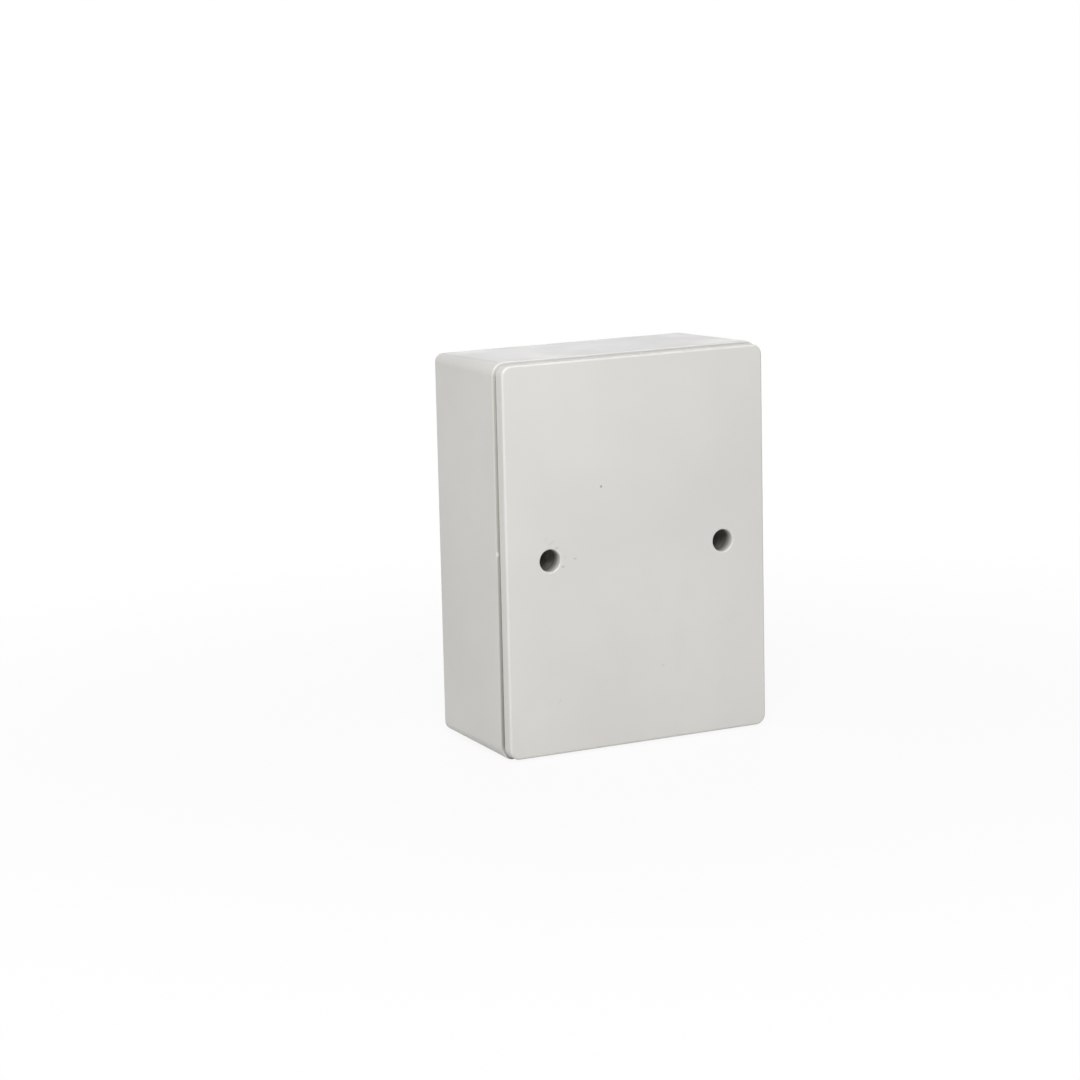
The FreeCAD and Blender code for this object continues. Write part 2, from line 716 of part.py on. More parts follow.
def make_time_dial():
    top = "case_depth - dial_sunk"
    flange_front = f"{FRONT_INSIDE} - dial_flange_clear"
    flange_rear = f"{flange_front} - dial_flange_thick"
    bore_end = f"{SHAFT_TOP} + dial_bore_clear"
    bore_start = f"{bore_end} - dial_bore_depth"
    body = turned("time_dial", "dial_x", LABEL_Z, [
        ("0", bore_start),
        ("dial_stem / 2", bore_start),
        ("dial_stem / 2", flange_rear),
        ("dial_flange / 2", flange_rear),
        ("dial_flange / 2", flange_front),
        ("dial_width / 2", flange_front),
        ("dial_width / 2", top),
        ("0", top),
    ])
    round_edges(body, "dial_edge", body.Tip, "dial_edge_round", lies_at_depth(top))
    slot = front_sketch(body, "slot_outline", top)
    rectangle(slot, "0", "0", "dial_slot_wide", "dial_slot_long")
    pocket(body, "dial_slot", slot, "dial_slot_deep")
    mark = front_sketch(body, "mark_outline", top)
    polygon(mark, [
        ("-dial_mark_wide / 2 - dial_slot_wide", "dial_slot_long / 2 - dial_mark_long"),
        ("-dial_slot_wide / 2", "dial_slot_long / 2 - dial_mark_long"),
        ("-dial_slot_wide / 2", "dial_slot_long / 2"),
    ])
    polygon(mark, [
        ("dial_slot_wide / 2", "dial_slot_long / 2 - dial_mark_long"),
        ("dial_mark_wide / 2 + dial_slot_wide", "dial_slot_long / 2 - dial_mark_long"),
        ("dial_slot_wide / 2", "dial_slot_long / 2"),
    ])
    pocket(body, "dial_arrow", mark, "dial_mark_deep")
    bore = front_sketch(body, "shaft_bore_outline", bore_start)
    d_section(bore, "shaft_width / 2 + dial_bore_clear", "shaft_width / 2 - shaft_flat + dial_bore_clear")
    pocket(body, "shaft_bore", bore, "dial_bore_depth", True)
    return keep(body)


def d_section(sketch, radius, flat):
    """Round section with a flat on its upper side, at a distance from the centre."""
    r, level = size_of(radius), size_of(flat)
    reach = (r * r - level * level) ** 0.5
    left, right = FreeCAD.Vector(-reach, level, 0), FreeCAD.Vector(reach, level, 0)
    arc = sketch.addGeometry(Part.Arc(left, FreeCAD.Vector(0, -r, 0), right), False)
    line = sketch.addGeometry(Part.LineSegment(right, left), False)
    ends = sorted((1, 2), key=lambda point: sketch.getPoint(arc, point).x)
    sketch.addConstraint(Sketcher.Constraint("Coincident", arc, ends[1], line, 1))
    sketch.addConstraint(Sketcher.Constraint("Coincident", arc, ends[0], line, 2))
    sketch.addConstraint(Sketcher.Constraint("Coincident", arc, 3, -1, 1))
    sketch.addConstraint(Sketcher.Constraint("Horizontal", line))
    number = sketch.addConstraint(Sketcher.Constraint("Radius", arc, r))
    bind(sketch, f"Constraints[{number}]", radius)
    number = sketch.addConstraint(Sketcher.Constraint("DistanceY", -1, 1, line, 1, level))
    bind(sketch, f"Constraints[{number}]", flat)


def make_timer_shaft():
    flange_front = "pot_case_high - pot_top - shaft_flange_clear"
    flange_rear = f"{flange_front} - shaft_flange_thick"
    top = SHAFT_TOP
    body = turned("timer_shaft", "dial_x", LABEL_Z, [
        ("0", above_board(flange_rear)),
        ("shaft_flange / 2", above_board(flange_rear)),
        ("shaft_flange / 2", above_board(flange_front)),
        ("shaft_width / 2", above_board(flange_front)),
        ("shaft_width / 2", top),
        ("0", top),
    ])
    flat = front_sketch(body, "flat_outline", top)
    rectangle(flat, "0", "shaft_width - shaft_flat", "shaft_width", "shaft_width")
    pocket(body, "shaft_flat_cut", flat, "shaft_flat_long")
    return keep(body)


def make_wiper_spring():
    under = "pot_case_high - pot_top - shaft_flange_clear - shaft_flange_thick"
    plate = block("wiper_plate", "dial_x", f"{LABEL_Z} + wiper_reach / 2",
                  above_board(f"{under} - wiper_thick"), "wiper_wide", "wiper_reach", "wiper_thick")
    tip = rod("wiper_tip_rod", "dial_x", f"{LABEL_Z} + wiper_reach - wiper_tip / 2",
              above_board("track_thick + wiper_clear"), "wiper_tip",
              f"{under} - track_thick - wiper_clear")
    return keep(fuse("wiper_spring", [plate, tip]))


def make_track_disc():
    return keep(rod("track_disc", "dial_x", LABEL_Z, BOARD_FACE, "track_width", "track_thick"))


def make_potentiometer_case():
    body = new_body("potentiometer_case")
    outer = front_sketch(body, "pot_outline", BOARD_FACE)
    rounded_rectangle(outer, "dial_x", LABEL_Z, "pot_case_size", "pot_case_size", "pot_case_round")
    pad(body, "pot_block", outer, "pot_case_high")
    cavity = front_sketch(body, "pot_cavity_outline", BOARD_FACE)
    circle(cavity, "dial_x", LABEL_Z, "pot_cavity")
    pocket(body, "pot_cavity_cut", cavity, "pot_case_high - pot_top", True)
    hole = front_sketch(body, "pot_hole_outline", above_board("pot_case_high"))
    circle(hole, "dial_x", LABEL_Z, "shaft_width + 2 * shaft_clear")
    pocket(body, "pot_hole", hole, "pot_top")
    return keep(body)


# Terminals

def make_terminal_housing():
    body = new_body("terminal_housing")
    wide = "4 * way_pitch + 2 * term_end_wall"
    middle = f"{TERM_LOW} + term_depth / 2"
    outer = front_sketch(body, "term_outline", BOARD_FACE)
    rectangle(outer, "0", middle, wide, "term_depth")
    pad(body, "term_block", outer, TERM_HIGH)
    rooms = front_sketch(body, "cage_room_outline", BOARD_FACE)
    for x in WAYS:
        rectangle(rooms, x, CAGE_Z, "cage_inner_wide + 2 * cage_wall + 2 * cage_clear",
                  "cage_length + 2 * cage_clear")
    pocket(body, "cage_rooms", rooms, CAGE_ROOM, True)
    slots = front_sketch(body, "tab_slot_outline", BOARD_FACE)
    for x in WAYS:
        rectangle(slots, x, f"({CAGE_ROOM_TOP} + {TAB_TOP} + tab_clear) / 2",
                  "tab_wide + 2 * tab_clear", f"{TAB_TOP} + tab_clear - {CAGE_ROOM_TOP}")
    pocket(body, "tab_slots", slots, f"{TAB_FOOT} + tab_thick + tab_clear", True)
    necks = front_sketch(body, "neck_hole_outline", BOARD_FACE)
    for x in WAYS:
        circle(necks, x, CAGE_Z, "shank_width + 2 * neck_clear")
    pocket(body, "neck_holes", necks, TERM_HIGH, True)
    heads = front_sketch(body, "head_bore_outline", above_board(TERM_HIGH))
    for x in WAYS:
        circle(heads, x, CAGE_Z, "head_width + 2 * head_clear")
    pocket(body, "head_bores", heads, f"{TERM_HIGH} - {HEAD_SEAT}")
    mouths = sketch_on(body, "mouth_outline", "XY_Plane", TERM_LOW)
    for x in WAYS:
        rectangle(mouths, x, f"-({BOARD_FACE} + {WIRE_HEIGHT})", "wire_window", "wire_window")
    pocket(body, "wire_mouths", mouths, "term_mouth", True)
    return keep(body)


def make_clamp_cage(number, x):
    """Rectangular steel loop round the wire and the tab, with the threaded wall in front."""
    name = f"clamp_cage_{number}"
    wide = "cage_inner_wide + 2 * cage_wall"
    loop = block(name + "_loop", x, CAGE_Z, above_board("cage_floor_gap"), wide, "cage_length", CAGE_HIGH)
    inside = block(name + "_inside", x, CAGE_Z, above_board("cage_floor_gap + cage_wall"),
                   "cage_inner_wide", "2 * cage_length", "cage_inner_high")
    hole = rod(name + "_hole", x, CAGE_Z, above_board("cage_floor_gap + cage_wall"),
               "shank_width + 2 * shank_clear", CAGE_HIGH)
    return keep(cut(name, loop, [inside, hole]))


def make_terminal_screw(number, x):
    """Slotted screw held in the housing, whose shank draws the cage forward."""
    tip = above_board(f"{TAB_FOOT} + tab_thick + shank_tip_gap")
    seat = above_board(HEAD_SEAT)
    top = above_board(f"({HEAD_SEAT} + head_high)")
    body = turned(f"terminal_screw_{number}", x, CAGE_Z, [
        ("0", tip),
        ("shank_width / 2", tip),
        ("shank_width / 2", seat),
        ("head_width / 2", seat),
        ("head_width / 2", f"({top} - head_edge)"),
        ("head_width / 2 - head_edge", top),
        ("0", top),
    ])
    slot = front_sketch(body, f"screw_slot_outline_{number}", top)
    rectangle(slot, "0", "0", "head_slot_wide", "head_width * 2")
    pocket(body, f"screw_slot_{number}", slot, "head_slot_deep")
    return keep(body)


def make_terminal_tabs():
    """Current bars: each lies in its cage and turns down to a pin in the board."""
    tabs = []
    for number, x in enumerate(WAYS, start=1):
        name = f"tab_{number}"
        start = f"({CAGE_Z} - cage_length / 2 + tab_clear)"
        bar = block(name + "_bar", x, f"({start} + {TAB_TOP}) / 2", above_board(TAB_FOOT),
                    "tab_wide", f"{TAB_TOP} - {start}", "tab_thick")
        leg = block(name + "_leg", x, TAB_PIN_Z, BOARD_FACE, "tab_wide", "tab_leg_depth",
                    f"{TAB_FOOT} + tab_thick")
        pin = soldered_pin(name + "_pin", x, TAB_PIN_Z, "tab_pin", "tab_solder", "tab_thick")
        tabs.append(fuse(name, [bar, leg, pin]))
    return keep(group("terminal_tabs", tabs))


# Relay

def along_relay(name, start, end, height, width):
    """Round bar along the relay, between two stations."""
    return cylinder(name, UPWARD, "relay_x", above_board(height), f"{RELAY_Z} + {start}",
                    width, f"{end} - {start}")


def relay_block(name, start, end, low, high, wide):
    """Block of the relay between two stations and two heights."""
    return block(name, "relay_x", f"({RELAY_Z} + ({start} + {end}) / 2)", above_board(low),
                 wide, f"({end} - {start})", f"({high} - ({low}))")


def make_relay_cover():
    outer = block("relay_cover_block", "relay_x", RELAY_Z, BOARD_FACE,
                  "relay_width", RELAY_LENGTH, RELAY_HIGH)
    inner = block("relay_cover_inside", "relay_x", RELAY_Z, BOARD_FACE,
                  "relay_width - 2 * relay_cover_wall", f"{RELAY_LENGTH} - 2 * relay_cover_wall",
                  f"{RELAY_HIGH} - relay_cover_wall")
    return keep(cut("relay_cover", outer, [inner]))


def make_relay_base():
    base = block("relay_base_block", "relay_x", RELAY_Z, BOARD_FACE,
                 "relay_width - 2 * relay_cover_wall - 2 * relay_clear",
                 f"{RELAY_LENGTH} - 2 * relay_cover_wall - 2 * relay_clear", "relay_base_high")
    holes = [rod("yoke_pin_hole", "relay_x", YOKE_PIN_Z, BOARD_FACE,
                 "relay_pin + 2 * relay_clear", "relay_base_high")]
    holes.append(block("fixed_blade_slot", "relay_x", FIXED_PIN_Z, BOARD_FACE,
                       "fixed_blade_wide + 2 * relay_clear", "fixed_blade_thick + 2 * relay_clear",
                       "relay_base_high"))
    for side in (-1, 1):
        holes.append(rod(f"coil_pin_hole_{side + 2}", f"relay_x + {side} * coil_pin_spread / 2",
                         COIL_PIN_Z, BOARD_FACE, "lead_width + 2 * relay_clear", "relay_base_high"))
    return keep(cut("relay_base", base, holes))


def make_relay_bobbin():
    tube = along_relay("bobbin_tube", COIL_START, FLANGE_B, COIL_HEIGHT,
                       "core_width + 2 * core_clear + 2 * bobbin_tube_wall")
    flanges = []
    for number, start in enumerate((FLANGE_A, FLANGE_B), start=1):
        end = f"({start} + bobbin_flange_thick)"
        flanges.append(relay_block(f"bobbin_flange_{number}", start, end,
                                   f"({COIL_HEIGHT} - bobbin_flange_high / 2)", YOKE_UNDER,
                                   "bobbin_flange_wide"))
    end = f"({FLANGE_B} + bobbin_flange_thick)"
    bore = along_relay("bobbin_bore", FLANGE_A, end, COIL_HEIGHT, "core_width + 2 * core_clear")
    return keep(cut("relay_bobbin", fuse("bobbin_solid", [tube] + flanges), [bore]))


def make_relay_coil():
    start, end = f"({COIL_START} + coil_clear)", f"({FLANGE_B} - coil_clear)"
    outer = along_relay("coil_outer", start, end, COIL_HEIGHT, "coil_width")
    inner = along_relay("coil_inner", start, end, COIL_HEIGHT,
                        "core_width + 2 * (core_clear + bobbin_tube_wall + coil_clear)")
    return keep(cut("relay_coil", outer, [inner]))


def make_relay_core():
    return keep(along_relay("relay_core", FLANGE_A, CORE_END, COIL_HEIGHT, "core_width"))


def make_relay_yoke():
    """Steel angle: one leg carries the core and stands on the base, the other reaches the armature."""
    leg = relay_block("yoke_leg", YOKE_START, FLANGE_A, "relay_base_high",
                      f"({YOKE_UNDER} + yoke_thick)", "yoke_wide")
    arm = relay_block("yoke_arm", YOKE_START, YOKE_END, YOKE_UNDER,
                      f"({YOKE_UNDER} + yoke_thick)", "yoke_wide")
    pin = soldered_pin("yoke_pin", "relay_x", YOKE_PIN_Z, "relay_pin", "relay_solder",
                       "relay_base_high + yoke_thick")
    return keep(fuse("relay_yoke", [leg, arm, pin]))


def make_relay_armature():
    return keep(relay_block("relay_armature", ARMATURE_IN, BLADE_IN, "armature_foot",
                            f"({YOKE_UNDER} + yoke_thick - armature_head)", "yoke_wide"))


def make_contact_spring():
    return keep(relay_block("contact_spring", BLADE_IN, f"({BLADE_IN} + blade_thick)",
                            "(contact_height - contact_width / 2)",
                            f"({YOKE_UNDER} + blade_past_yoke)", "blade_wide"))


def make_contacts():
    moving = along_relay("moving_contact", MOVING_FACE, BLADE_IN, "contact_height", "contact_width")
    fixed = along_relay("fixed_contact", FIXED_BLADE, FIXED_FACE, "contact_height", "contact_width")
    return keep(moving), keep(fixed)


def make_fixed_terminal():
    high = "(contact_height + contact_width / 2)"
    blade = relay_block("fixed_blade", f"({FIXED_BLADE} - fixed_blade_thick)", FIXED_BLADE,
                        "0", high, "fixed_blade_wide")
    pin = soldered_pin("fixed_pin", "relay_x", FIXED_PIN_Z, "fixed_blade_thick",
                       "relay_solder", "fixed_blade_thick")
    return keep(fuse("fixed_terminal", [blade, pin]))


def make_coil_pins():
    pins = [soldered_pin(f"coil_pin_{side + 2}", f"relay_x + {side} * coil_pin_spread / 2", COIL_PIN_Z,
                         "lead_width", "solder_width", "coil_pin_high") for side in (-1, 1)]
    return keep(group("coil_pins", pins))


# Supply, protection and timing parts on the board

def make_dropper_capacitor():
    body = new_body("dropper_capacitor")
    outline = front_sketch(body, "dropper_outline", BOARD_FACE)
    rounded_rectangle(outline, DROPPER_X, DROPPER_Z, "dropper_width", "dropper_length", "dropper_round")
    solid = pad(body, "dropper_block", outline, "dropper_high")
    round_edges(body, "dropper_top", solid, "dropper_round / 2", lies_at_depth(above_board("dropper_high")))
    return keep(body)


def make_smoothing_capacitor():
    waist = "can_width / 2 - can_groove_deep"
    groove_end = "can_groove_high + can_groove_wide"
    body = turned("smoothing_capacitor", CAN_X, CAN_Z, [
        ("0", BOARD_FACE),
        ("can_width / 2", BOARD_FACE),
        ("can_width / 2", above_board("can_groove_high")),
        (waist, above_board("can_groove_high + can_groove_wide / 2")),
        ("can_width / 2", above_board(groove_end)),
        ("can_width / 2", above_board("can_high")),
        ("0", above_board("can_high")),
    ])
    round_edges(body, "can_top", body.Tip, "can_top_round", lies_at_depth(above_board("can_high")))
    return keep(body)


def make_varistor():
    disc = cylinder("varistor", UPWARD, VARISTOR_X, above_board("(varistor_lift + varistor_width / 2)"),
                    f"{VARISTOR_Z} - varistor_thick / 2", "varistor_width", "varistor_thick")
    return keep(disc)


def make_fuse_link():
    body = new_body("fuse_link")
    outline = front_sketch(body, "fuse_outline", BOARD_FACE)
    rounded_rectangle(outline, FUSE_X, FUSE_Z, "fuse_width", "fuse_thick", "fuse_round")
    solid = pad(body, "fuse_block", outline, "fuse_high")
    round_edges(body, "fuse_top", solid, "fuse_round / 2", lies_at_depth(above_board("fuse_high")))
    return keep(body)


def make_bridge_rectifier():
    disc = rod("bridge_disc", BRIDGE_X, BRIDGE_Z, BOARD_FACE, "bridge_width", "bridge_high")
    flat = block("bridge_flat_cut", BRIDGE_X, f"{BRIDGE_Z} + bridge_width - bridge_flat", BOARD_FACE,
                 "bridge_width", "bridge_width", "bridge_high")
    return keep(cut("bridge_rectifier", disc, [flat]))


def make_timer_chip():
    body = block("chip_block", CHIP_X, CHIP_Z, above_board("chip_lift"),
                 "chip_width", "chip_length", "chip_high")
    notch = rod("chip_notch_rod", CHIP_X, f"{CHIP_Z} + chip_length / 2",
                above_board("(chip_lift + chip_high - chip_notch_deep)"), "chip_notch", "chip_high")
    return keep(cut("timer_chip", body, [notch]))


def chip_leg_places():
    return [(f"({CHIP_X} + {side} * chip_row_spacing / 2)", f"({CHIP_Z} + {row} * chip_leg_pitch)", side)
            for side in (-1, 1) for row in (-1.5, -0.5, 0.5, 1.5)]


def make_chip_legs():
    """Each leg leaves the chip's side, turns down outside it and ends in a soldered pin."""
    legs = []
    for number, (x, z, side) in enumerate(chip_leg_places(), start=1):
        name = f"chip_leg_{number}"
        reach = "((chip_row_spacing - chip_width) / 2 + chip_leg_thick / 2)"
        shelf = block(name + "_shelf", f"({x} - {side} * ({reach} / 2 - chip_leg_thick / 2))", z,
                      above_board("(chip_lift + chip_high / 2)"), reach, "chip_leg_wide", "chip_leg_thick")
        drop = block(name + "_drop", x, z, BOARD_FACE, "chip_leg_thick", "chip_leg_wide",
                     "chip_lift + chip_high / 2 + chip_leg_thick")
        pin = soldered_pin(name + "_pin", x, z, "lead_width", "solder_width")
        legs.append(fuse(name, [shelf, drop, pin]))
    return keep(group("chip_legs", legs))


def make_driver_transistor():
    width = "transistor_width"
    can = rod("transistor_round", SIDE_X, TRANSISTOR_Z, above_board("transistor_lift"),
              width, "transistor_high")
    flat = block("transistor_flat_cut", SIDE_X, f"{TRANSISTOR_Z} - {width} + transistor_flat",
                 above_board("transistor_lift"), width, width, "transistor_high")
    return keep(cut("driver_transistor", can, [flat]))


def bar_part(name, x, z, length, profile_width, ends=None):
    """Lying axial part along X, with thicker ends where given."""
    height = "(resistor_lift + resistor_width / 2)"
    pieces = [cylinder(name + "_bar", TO_RIGHT, f"{x} - {length} / 2", above_board(height), z,
                       profile_width, length)]
    if ends:
        for side in (-1, 1):
            start = f"{x} + {side} * ({length} - resistor_end) / 2 - resistor_end / 2"
            pieces.append(cylinder(f"{name}_end_{side + 2}", TO_RIGHT, start, above_board(height), z,
                                   ends, "resistor_end"))
        return fuse(name, pieces)
    return pieces[0]


RESISTORS = [("a", "resistor_a_x", TOP_ROW_Z), ("b", "resistor_b_x", TOP_ROW_Z), ("c", SIDE_X, RESISTOR_C_Z)]


def make_resistors():
    bars = [bar_part(f"resistor_{letter}", x, z, "resistor_length", "resistor_waist", "resistor_width")
            for letter, x, z in RESISTORS]
    return keep(group("resistors", bars))


def make_zener_diode():
    item = bar_part("zener_diode", SIDE_X, ZENER_Z, "zener_length", "zener_width")
    item.Label = "zener_diode"
    return keep(item)


def make_lamp():
    front = "case_depth - lamp_sunk"
    body = turned("lamp_led", "lamp_x", LABEL_Z, [
        ("0", f"{front} - lamp_body_high"),
        ("lamp_flange / 2", f"{front} - lamp_body_high"),
        ("lamp_flange / 2", f"{front} - lamp_body_high + lamp_flange_high"),
        ("lamp_width / 2", f"{front} - lamp_body_high + lamp_flange_high"),
        ("lamp_width / 2", front),
        ("0", front),
    ])
    round_edges(body, "lamp_dome", body.Tip, "lamp_dome_round", lies_at_depth(front))
    return keep(body)


def make_led_spacer():
    high = f"case_depth - lamp_sunk - lamp_body_high - {BOARD_FACE}"
    tube = rod("spacer_tube", "lamp_x", LABEL_Z, BOARD_FACE, "spacer_width", high)
    holes = [rod(f"spacer_hole_{side + 2}", f"lamp_x + {side} * lamp_lead_pitch / 2", LABEL_Z,
                 BOARD_FACE, "spacer_bore", high) for side in (-1, 1)]
    return keep(cut("led_spacer", tube, holes))


# Leads: name, x, z and how high above the board each one starts

def pair_along(axis, x, z, pitch, above="0"):
    if axis == "x":
        return [(f"({x} - {pitch} / 2)", z, above), (f"({x} + {pitch} / 2)", z, above)]
    return [(x, f"({z} - {pitch} / 2)", above), (x, f"({z} + {pitch} / 2)", above)]


def plain_leads():
    """Straight leads that meet the underside of their part."""
    lamp_high = f"(case_depth - lamp_sunk - lamp_body_high - {BOARD_FACE})"
    leads = pair_along("z", DROPPER_X, DROPPER_Z, "dropper_pitch")
    leads += pair_along("z", CAN_X, CAN_Z, "can_pitch")
    leads += pair_along("x", FUSE_X, FUSE_Z, "fuse_pitch")
    leads += pair_along("x", "lamp_x", LABEL_Z, "lamp_lead_pitch", lamp_high)
    for side in (-1, 1):
        leads += pair_along("x", BRIDGE_X, f"({BRIDGE_Z} + {side} * bridge_pitch / 2)", "bridge_pitch")
    for step in (-1, 0, 1):
        leads.append((f"({SIDE_X} + {step} * transistor_pitch)", TRANSISTOR_Z, "transistor_lift"))
        leads.append((f"(dial_x + {step} * pot_pin_pitch)", f"({LABEL_Z} + pot_pin_z)", "0"))
    return leads


def bent_leads():
    """Leads of lying parts: x, z, side and the start of the part's end."""
    leads = []
    parts = [(x, z, "resistor_length") for letter, x, z in RESISTORS]
    parts.append((SIDE_X, ZENER_Z, "zener_length"))
    for x, z, length in parts:
        for side in (-1, 1):
            leads.append((f"({x} + {side} * resistor_pitch / 2)", z, side, f"({length} / 2)"))
    return leads


def varistor_leads():
    """The two leads leave the disc on opposite faces, low on its rim."""
    return pair_along("x", VARISTOR_X, VARISTOR_Z, "varistor_pitch")


def make_component_leads():
    solids = []
    for number, (x, z, above) in enumerate(plain_leads(), start=1):
        solids.append(soldered_pin(f"lead_{number}", x, z, "lead_width", "solder_width", above))
    for number, (x, z, side, half) in enumerate(bent_leads(), start=1):
        name = f"bent_lead_{number}"
        height = "(resistor_lift + resistor_width / 2)"
        pin = soldered_pin(name + "_pin", x, z, "resistor_wire", "solder_width", height)
        run = f"(resistor_pitch / 2 - {half})"
        start = x if side < 0 else f"({x} - {run})"
        wire = cylinder(name + "_run", TO_RIGHT, start, above_board(height), z, "resistor_wire", run)
        elbow = doc.addObject("Part::Sphere", name + "_elbow")
        bind(elbow, "Radius", "resistor_wire / 2")
        bind(elbow, "Placement.Base.x", x)
        bind(elbow, "Placement.Base.y", f"-({above_board(height)})")
        bind(elbow, "Placement.Base.z", z)
        solids.append(fuse(name, [pin, wire, elbow]))
    outer_edge = "(varistor_pitch / 2 + lead_width / 2)"
    rise = f"sqrt((varistor_width / 2) ^ 2 - {outer_edge} ^ 2)"
    rim = f"(varistor_lift + varistor_width / 2 - {rise})"
    for number, (x, z, above) in enumerate(varistor_leads(), start=1):
        lead = soldered_pin(f"varistor_lead_{number}", x, z, "lead_width", "solder_width", rim)
        tool = cylinder(f"varistor_room_{number}", UPWARD, VARISTOR_X,
                        above_board("(varistor_lift + varistor_width / 2)"),
                        f"{VARISTOR_Z} - varistor_thick / 2", "varistor_width", "varistor_thick")
        solids.append(cut(f"varistor_lead_{number}_cut", lead, [tool]))
    return keep(group("component_leads", solids))


# Board, with a hole for everything that passes it

def make_circuit_board():
    body = new_body("circuit_board")
    outline = front_sketch(body, "board_outline", BOARD_REAR)
    rounded_rectangle(outline, "0", "0", "case_width - 2 * (wall + board_side_gap)",
                      "case_height - 2 * (wall + board_end_gap)", "board_corner")
    pad(body, "board_sheet", outline, "board_thick")
    large = front_sketch(body, "board_pillar_outline", BOARD_REAR)
    for x in PILLARS:
        circle(large, x, "0", "pillar_width + 2 * board_hole_clear")
    for x in POSTS:
        circle(large, x, POST_Z, "board_screw_width + board_hole_clear")
    pocket(body, "board_pillar_holes", large, "board_thick", True)
    pins = front_sketch(body, "board_pin_outline", BOARD_REAR)
    for x in WAYS:
        circle(pins, x, TAB_PIN_Z, "tab_pin_hole")
    circle(pins, "relay_x", YOKE_PIN_Z, "relay_pin_hole")
    circle(pins, "relay_x", FIXED_PIN_Z, "relay_pin_hole")
    for side in (-1, 1):
        circle(pins, f"relay_x + {side} * coil_pin_spread / 2", COIL_PIN_Z, "lead_hole")
    pocket(body, "board_pin_holes", pins, "board_thick", True)
    leads = front_sketch(body, "board_lead_outline", BOARD_REAR)
    for x, z, extra in plain_leads() + varistor_leads() + chip_leg_places():
        circle(leads, x, z, "lead_hole")
    for x, z, side, half in bent_leads():
        circle(leads, x, z, "lead_hole")
    pocket(body, "board_lead_holes", leads, "board_thick", True)
    return keep(body)


def make_board_screws():
    """Self-tapping screws from the board's rear into the posts."""
    screws = []
    for number, x in enumerate(POSTS, start=1):
        name = f"board_screw_{number}"
        shank = rod(name + "_shank", x, POST_Z, BOARD_REAR, "post_pilot", "board_screw_length")
        head = rod(name + "_head", x, POST_Z, f"{BOARD_REAR} - board_screw_head_high",
                   "board_screw_head", "board_screw_head_high")
        slot = block(name + "_slot", x, POST_Z, f"{BOARD_REAR} - board_screw_head_high",
                     "board_screw_head * 2", "head_slot_wide", "board_screw_head_high / 2")
        screws.append(cut(name, fuse(name + "_solid", [shank, head]), [slot]))
    return keep(group("board_screws", screws))


make_front_shell()
make_rear_plate()
make_scale_label()
make_time_dial()
make_timer_shaft()
make_wiper_spring()
make_track_disc()
make_potentiometer_case()
make_circuit_board()
make_board_screws()
make_terminal_housing()
for number, place in enumerate(WAYS, start=1):
    make_clamp_cage(number, place)
    make_terminal_screw(number, place)
make_terminal_tabs()
make_relay_cover()
make_relay_base()
make_relay_bobbin()
make_relay_coil()
make_relay_core()
make_relay_yoke()
make_relay_armature()
make_contact_spring()
make_contacts()
make_fixed_terminal()
make_coil_pins()
make_dropper_capacitor()
make_smoothing_capacitor()
make_varistor()
make_fuse_link()
make_bridge_rectifier()
make_timer_chip()
make_chip_legs()
make_driver_transistor()
make_resistors()
make_zener_diode()
make_lamp()
make_led_spacer()
make_component_leads()

# Check every object and every sub-part before anything is written
doc.recompute()
for item in doc.Objects:
    if "Invalid" in item.State or "Error" in item.State:
        raise RuntimeError(f"{item.Name} did not recompute: {item.State}")
for item in subparts:
    if item.Shape.isNull() or not item.Shape.isValid() or not item.Shape.Solids:
        raise RuntimeError(f"{item.Label} has no valid solid")

os.makedirs("parts", exist_ok=True)
for item in subparts:
    item.Shape.exportStep(f"parts/{item.Label}.step")
    print(item.Label, len(item.Shape.Solids), round(item.Shape.Volume, 2))
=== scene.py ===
import json
import math

import bmesh
import bpy
from mathutils import Matrix, Vector

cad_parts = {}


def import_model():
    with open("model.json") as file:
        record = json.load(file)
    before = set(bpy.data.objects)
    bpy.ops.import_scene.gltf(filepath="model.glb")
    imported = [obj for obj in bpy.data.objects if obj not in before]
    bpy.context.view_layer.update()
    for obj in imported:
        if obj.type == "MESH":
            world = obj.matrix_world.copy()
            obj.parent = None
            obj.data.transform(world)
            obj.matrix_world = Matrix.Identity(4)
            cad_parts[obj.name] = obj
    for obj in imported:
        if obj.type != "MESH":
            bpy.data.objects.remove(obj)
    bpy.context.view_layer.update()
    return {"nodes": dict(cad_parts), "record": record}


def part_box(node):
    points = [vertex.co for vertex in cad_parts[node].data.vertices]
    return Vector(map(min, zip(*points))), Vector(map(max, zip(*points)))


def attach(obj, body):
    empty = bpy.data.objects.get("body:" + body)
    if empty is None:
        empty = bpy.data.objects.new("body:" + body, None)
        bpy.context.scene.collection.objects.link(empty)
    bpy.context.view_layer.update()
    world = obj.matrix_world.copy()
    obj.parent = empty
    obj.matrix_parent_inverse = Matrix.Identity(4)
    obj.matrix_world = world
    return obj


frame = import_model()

# Staircase timer switch: a small moulded box with a rear plate, seen from its wall side.
# Lengths are metres. The wall face is at Y = 0, the front with the dial on -Y, up is +Z.

MM = 0.001
scene = bpy.context.scene
nodes = frame["nodes"]


def middle_of(name):
    """Middle of a node's box."""
    low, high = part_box(name)
    return (low + high) / 2


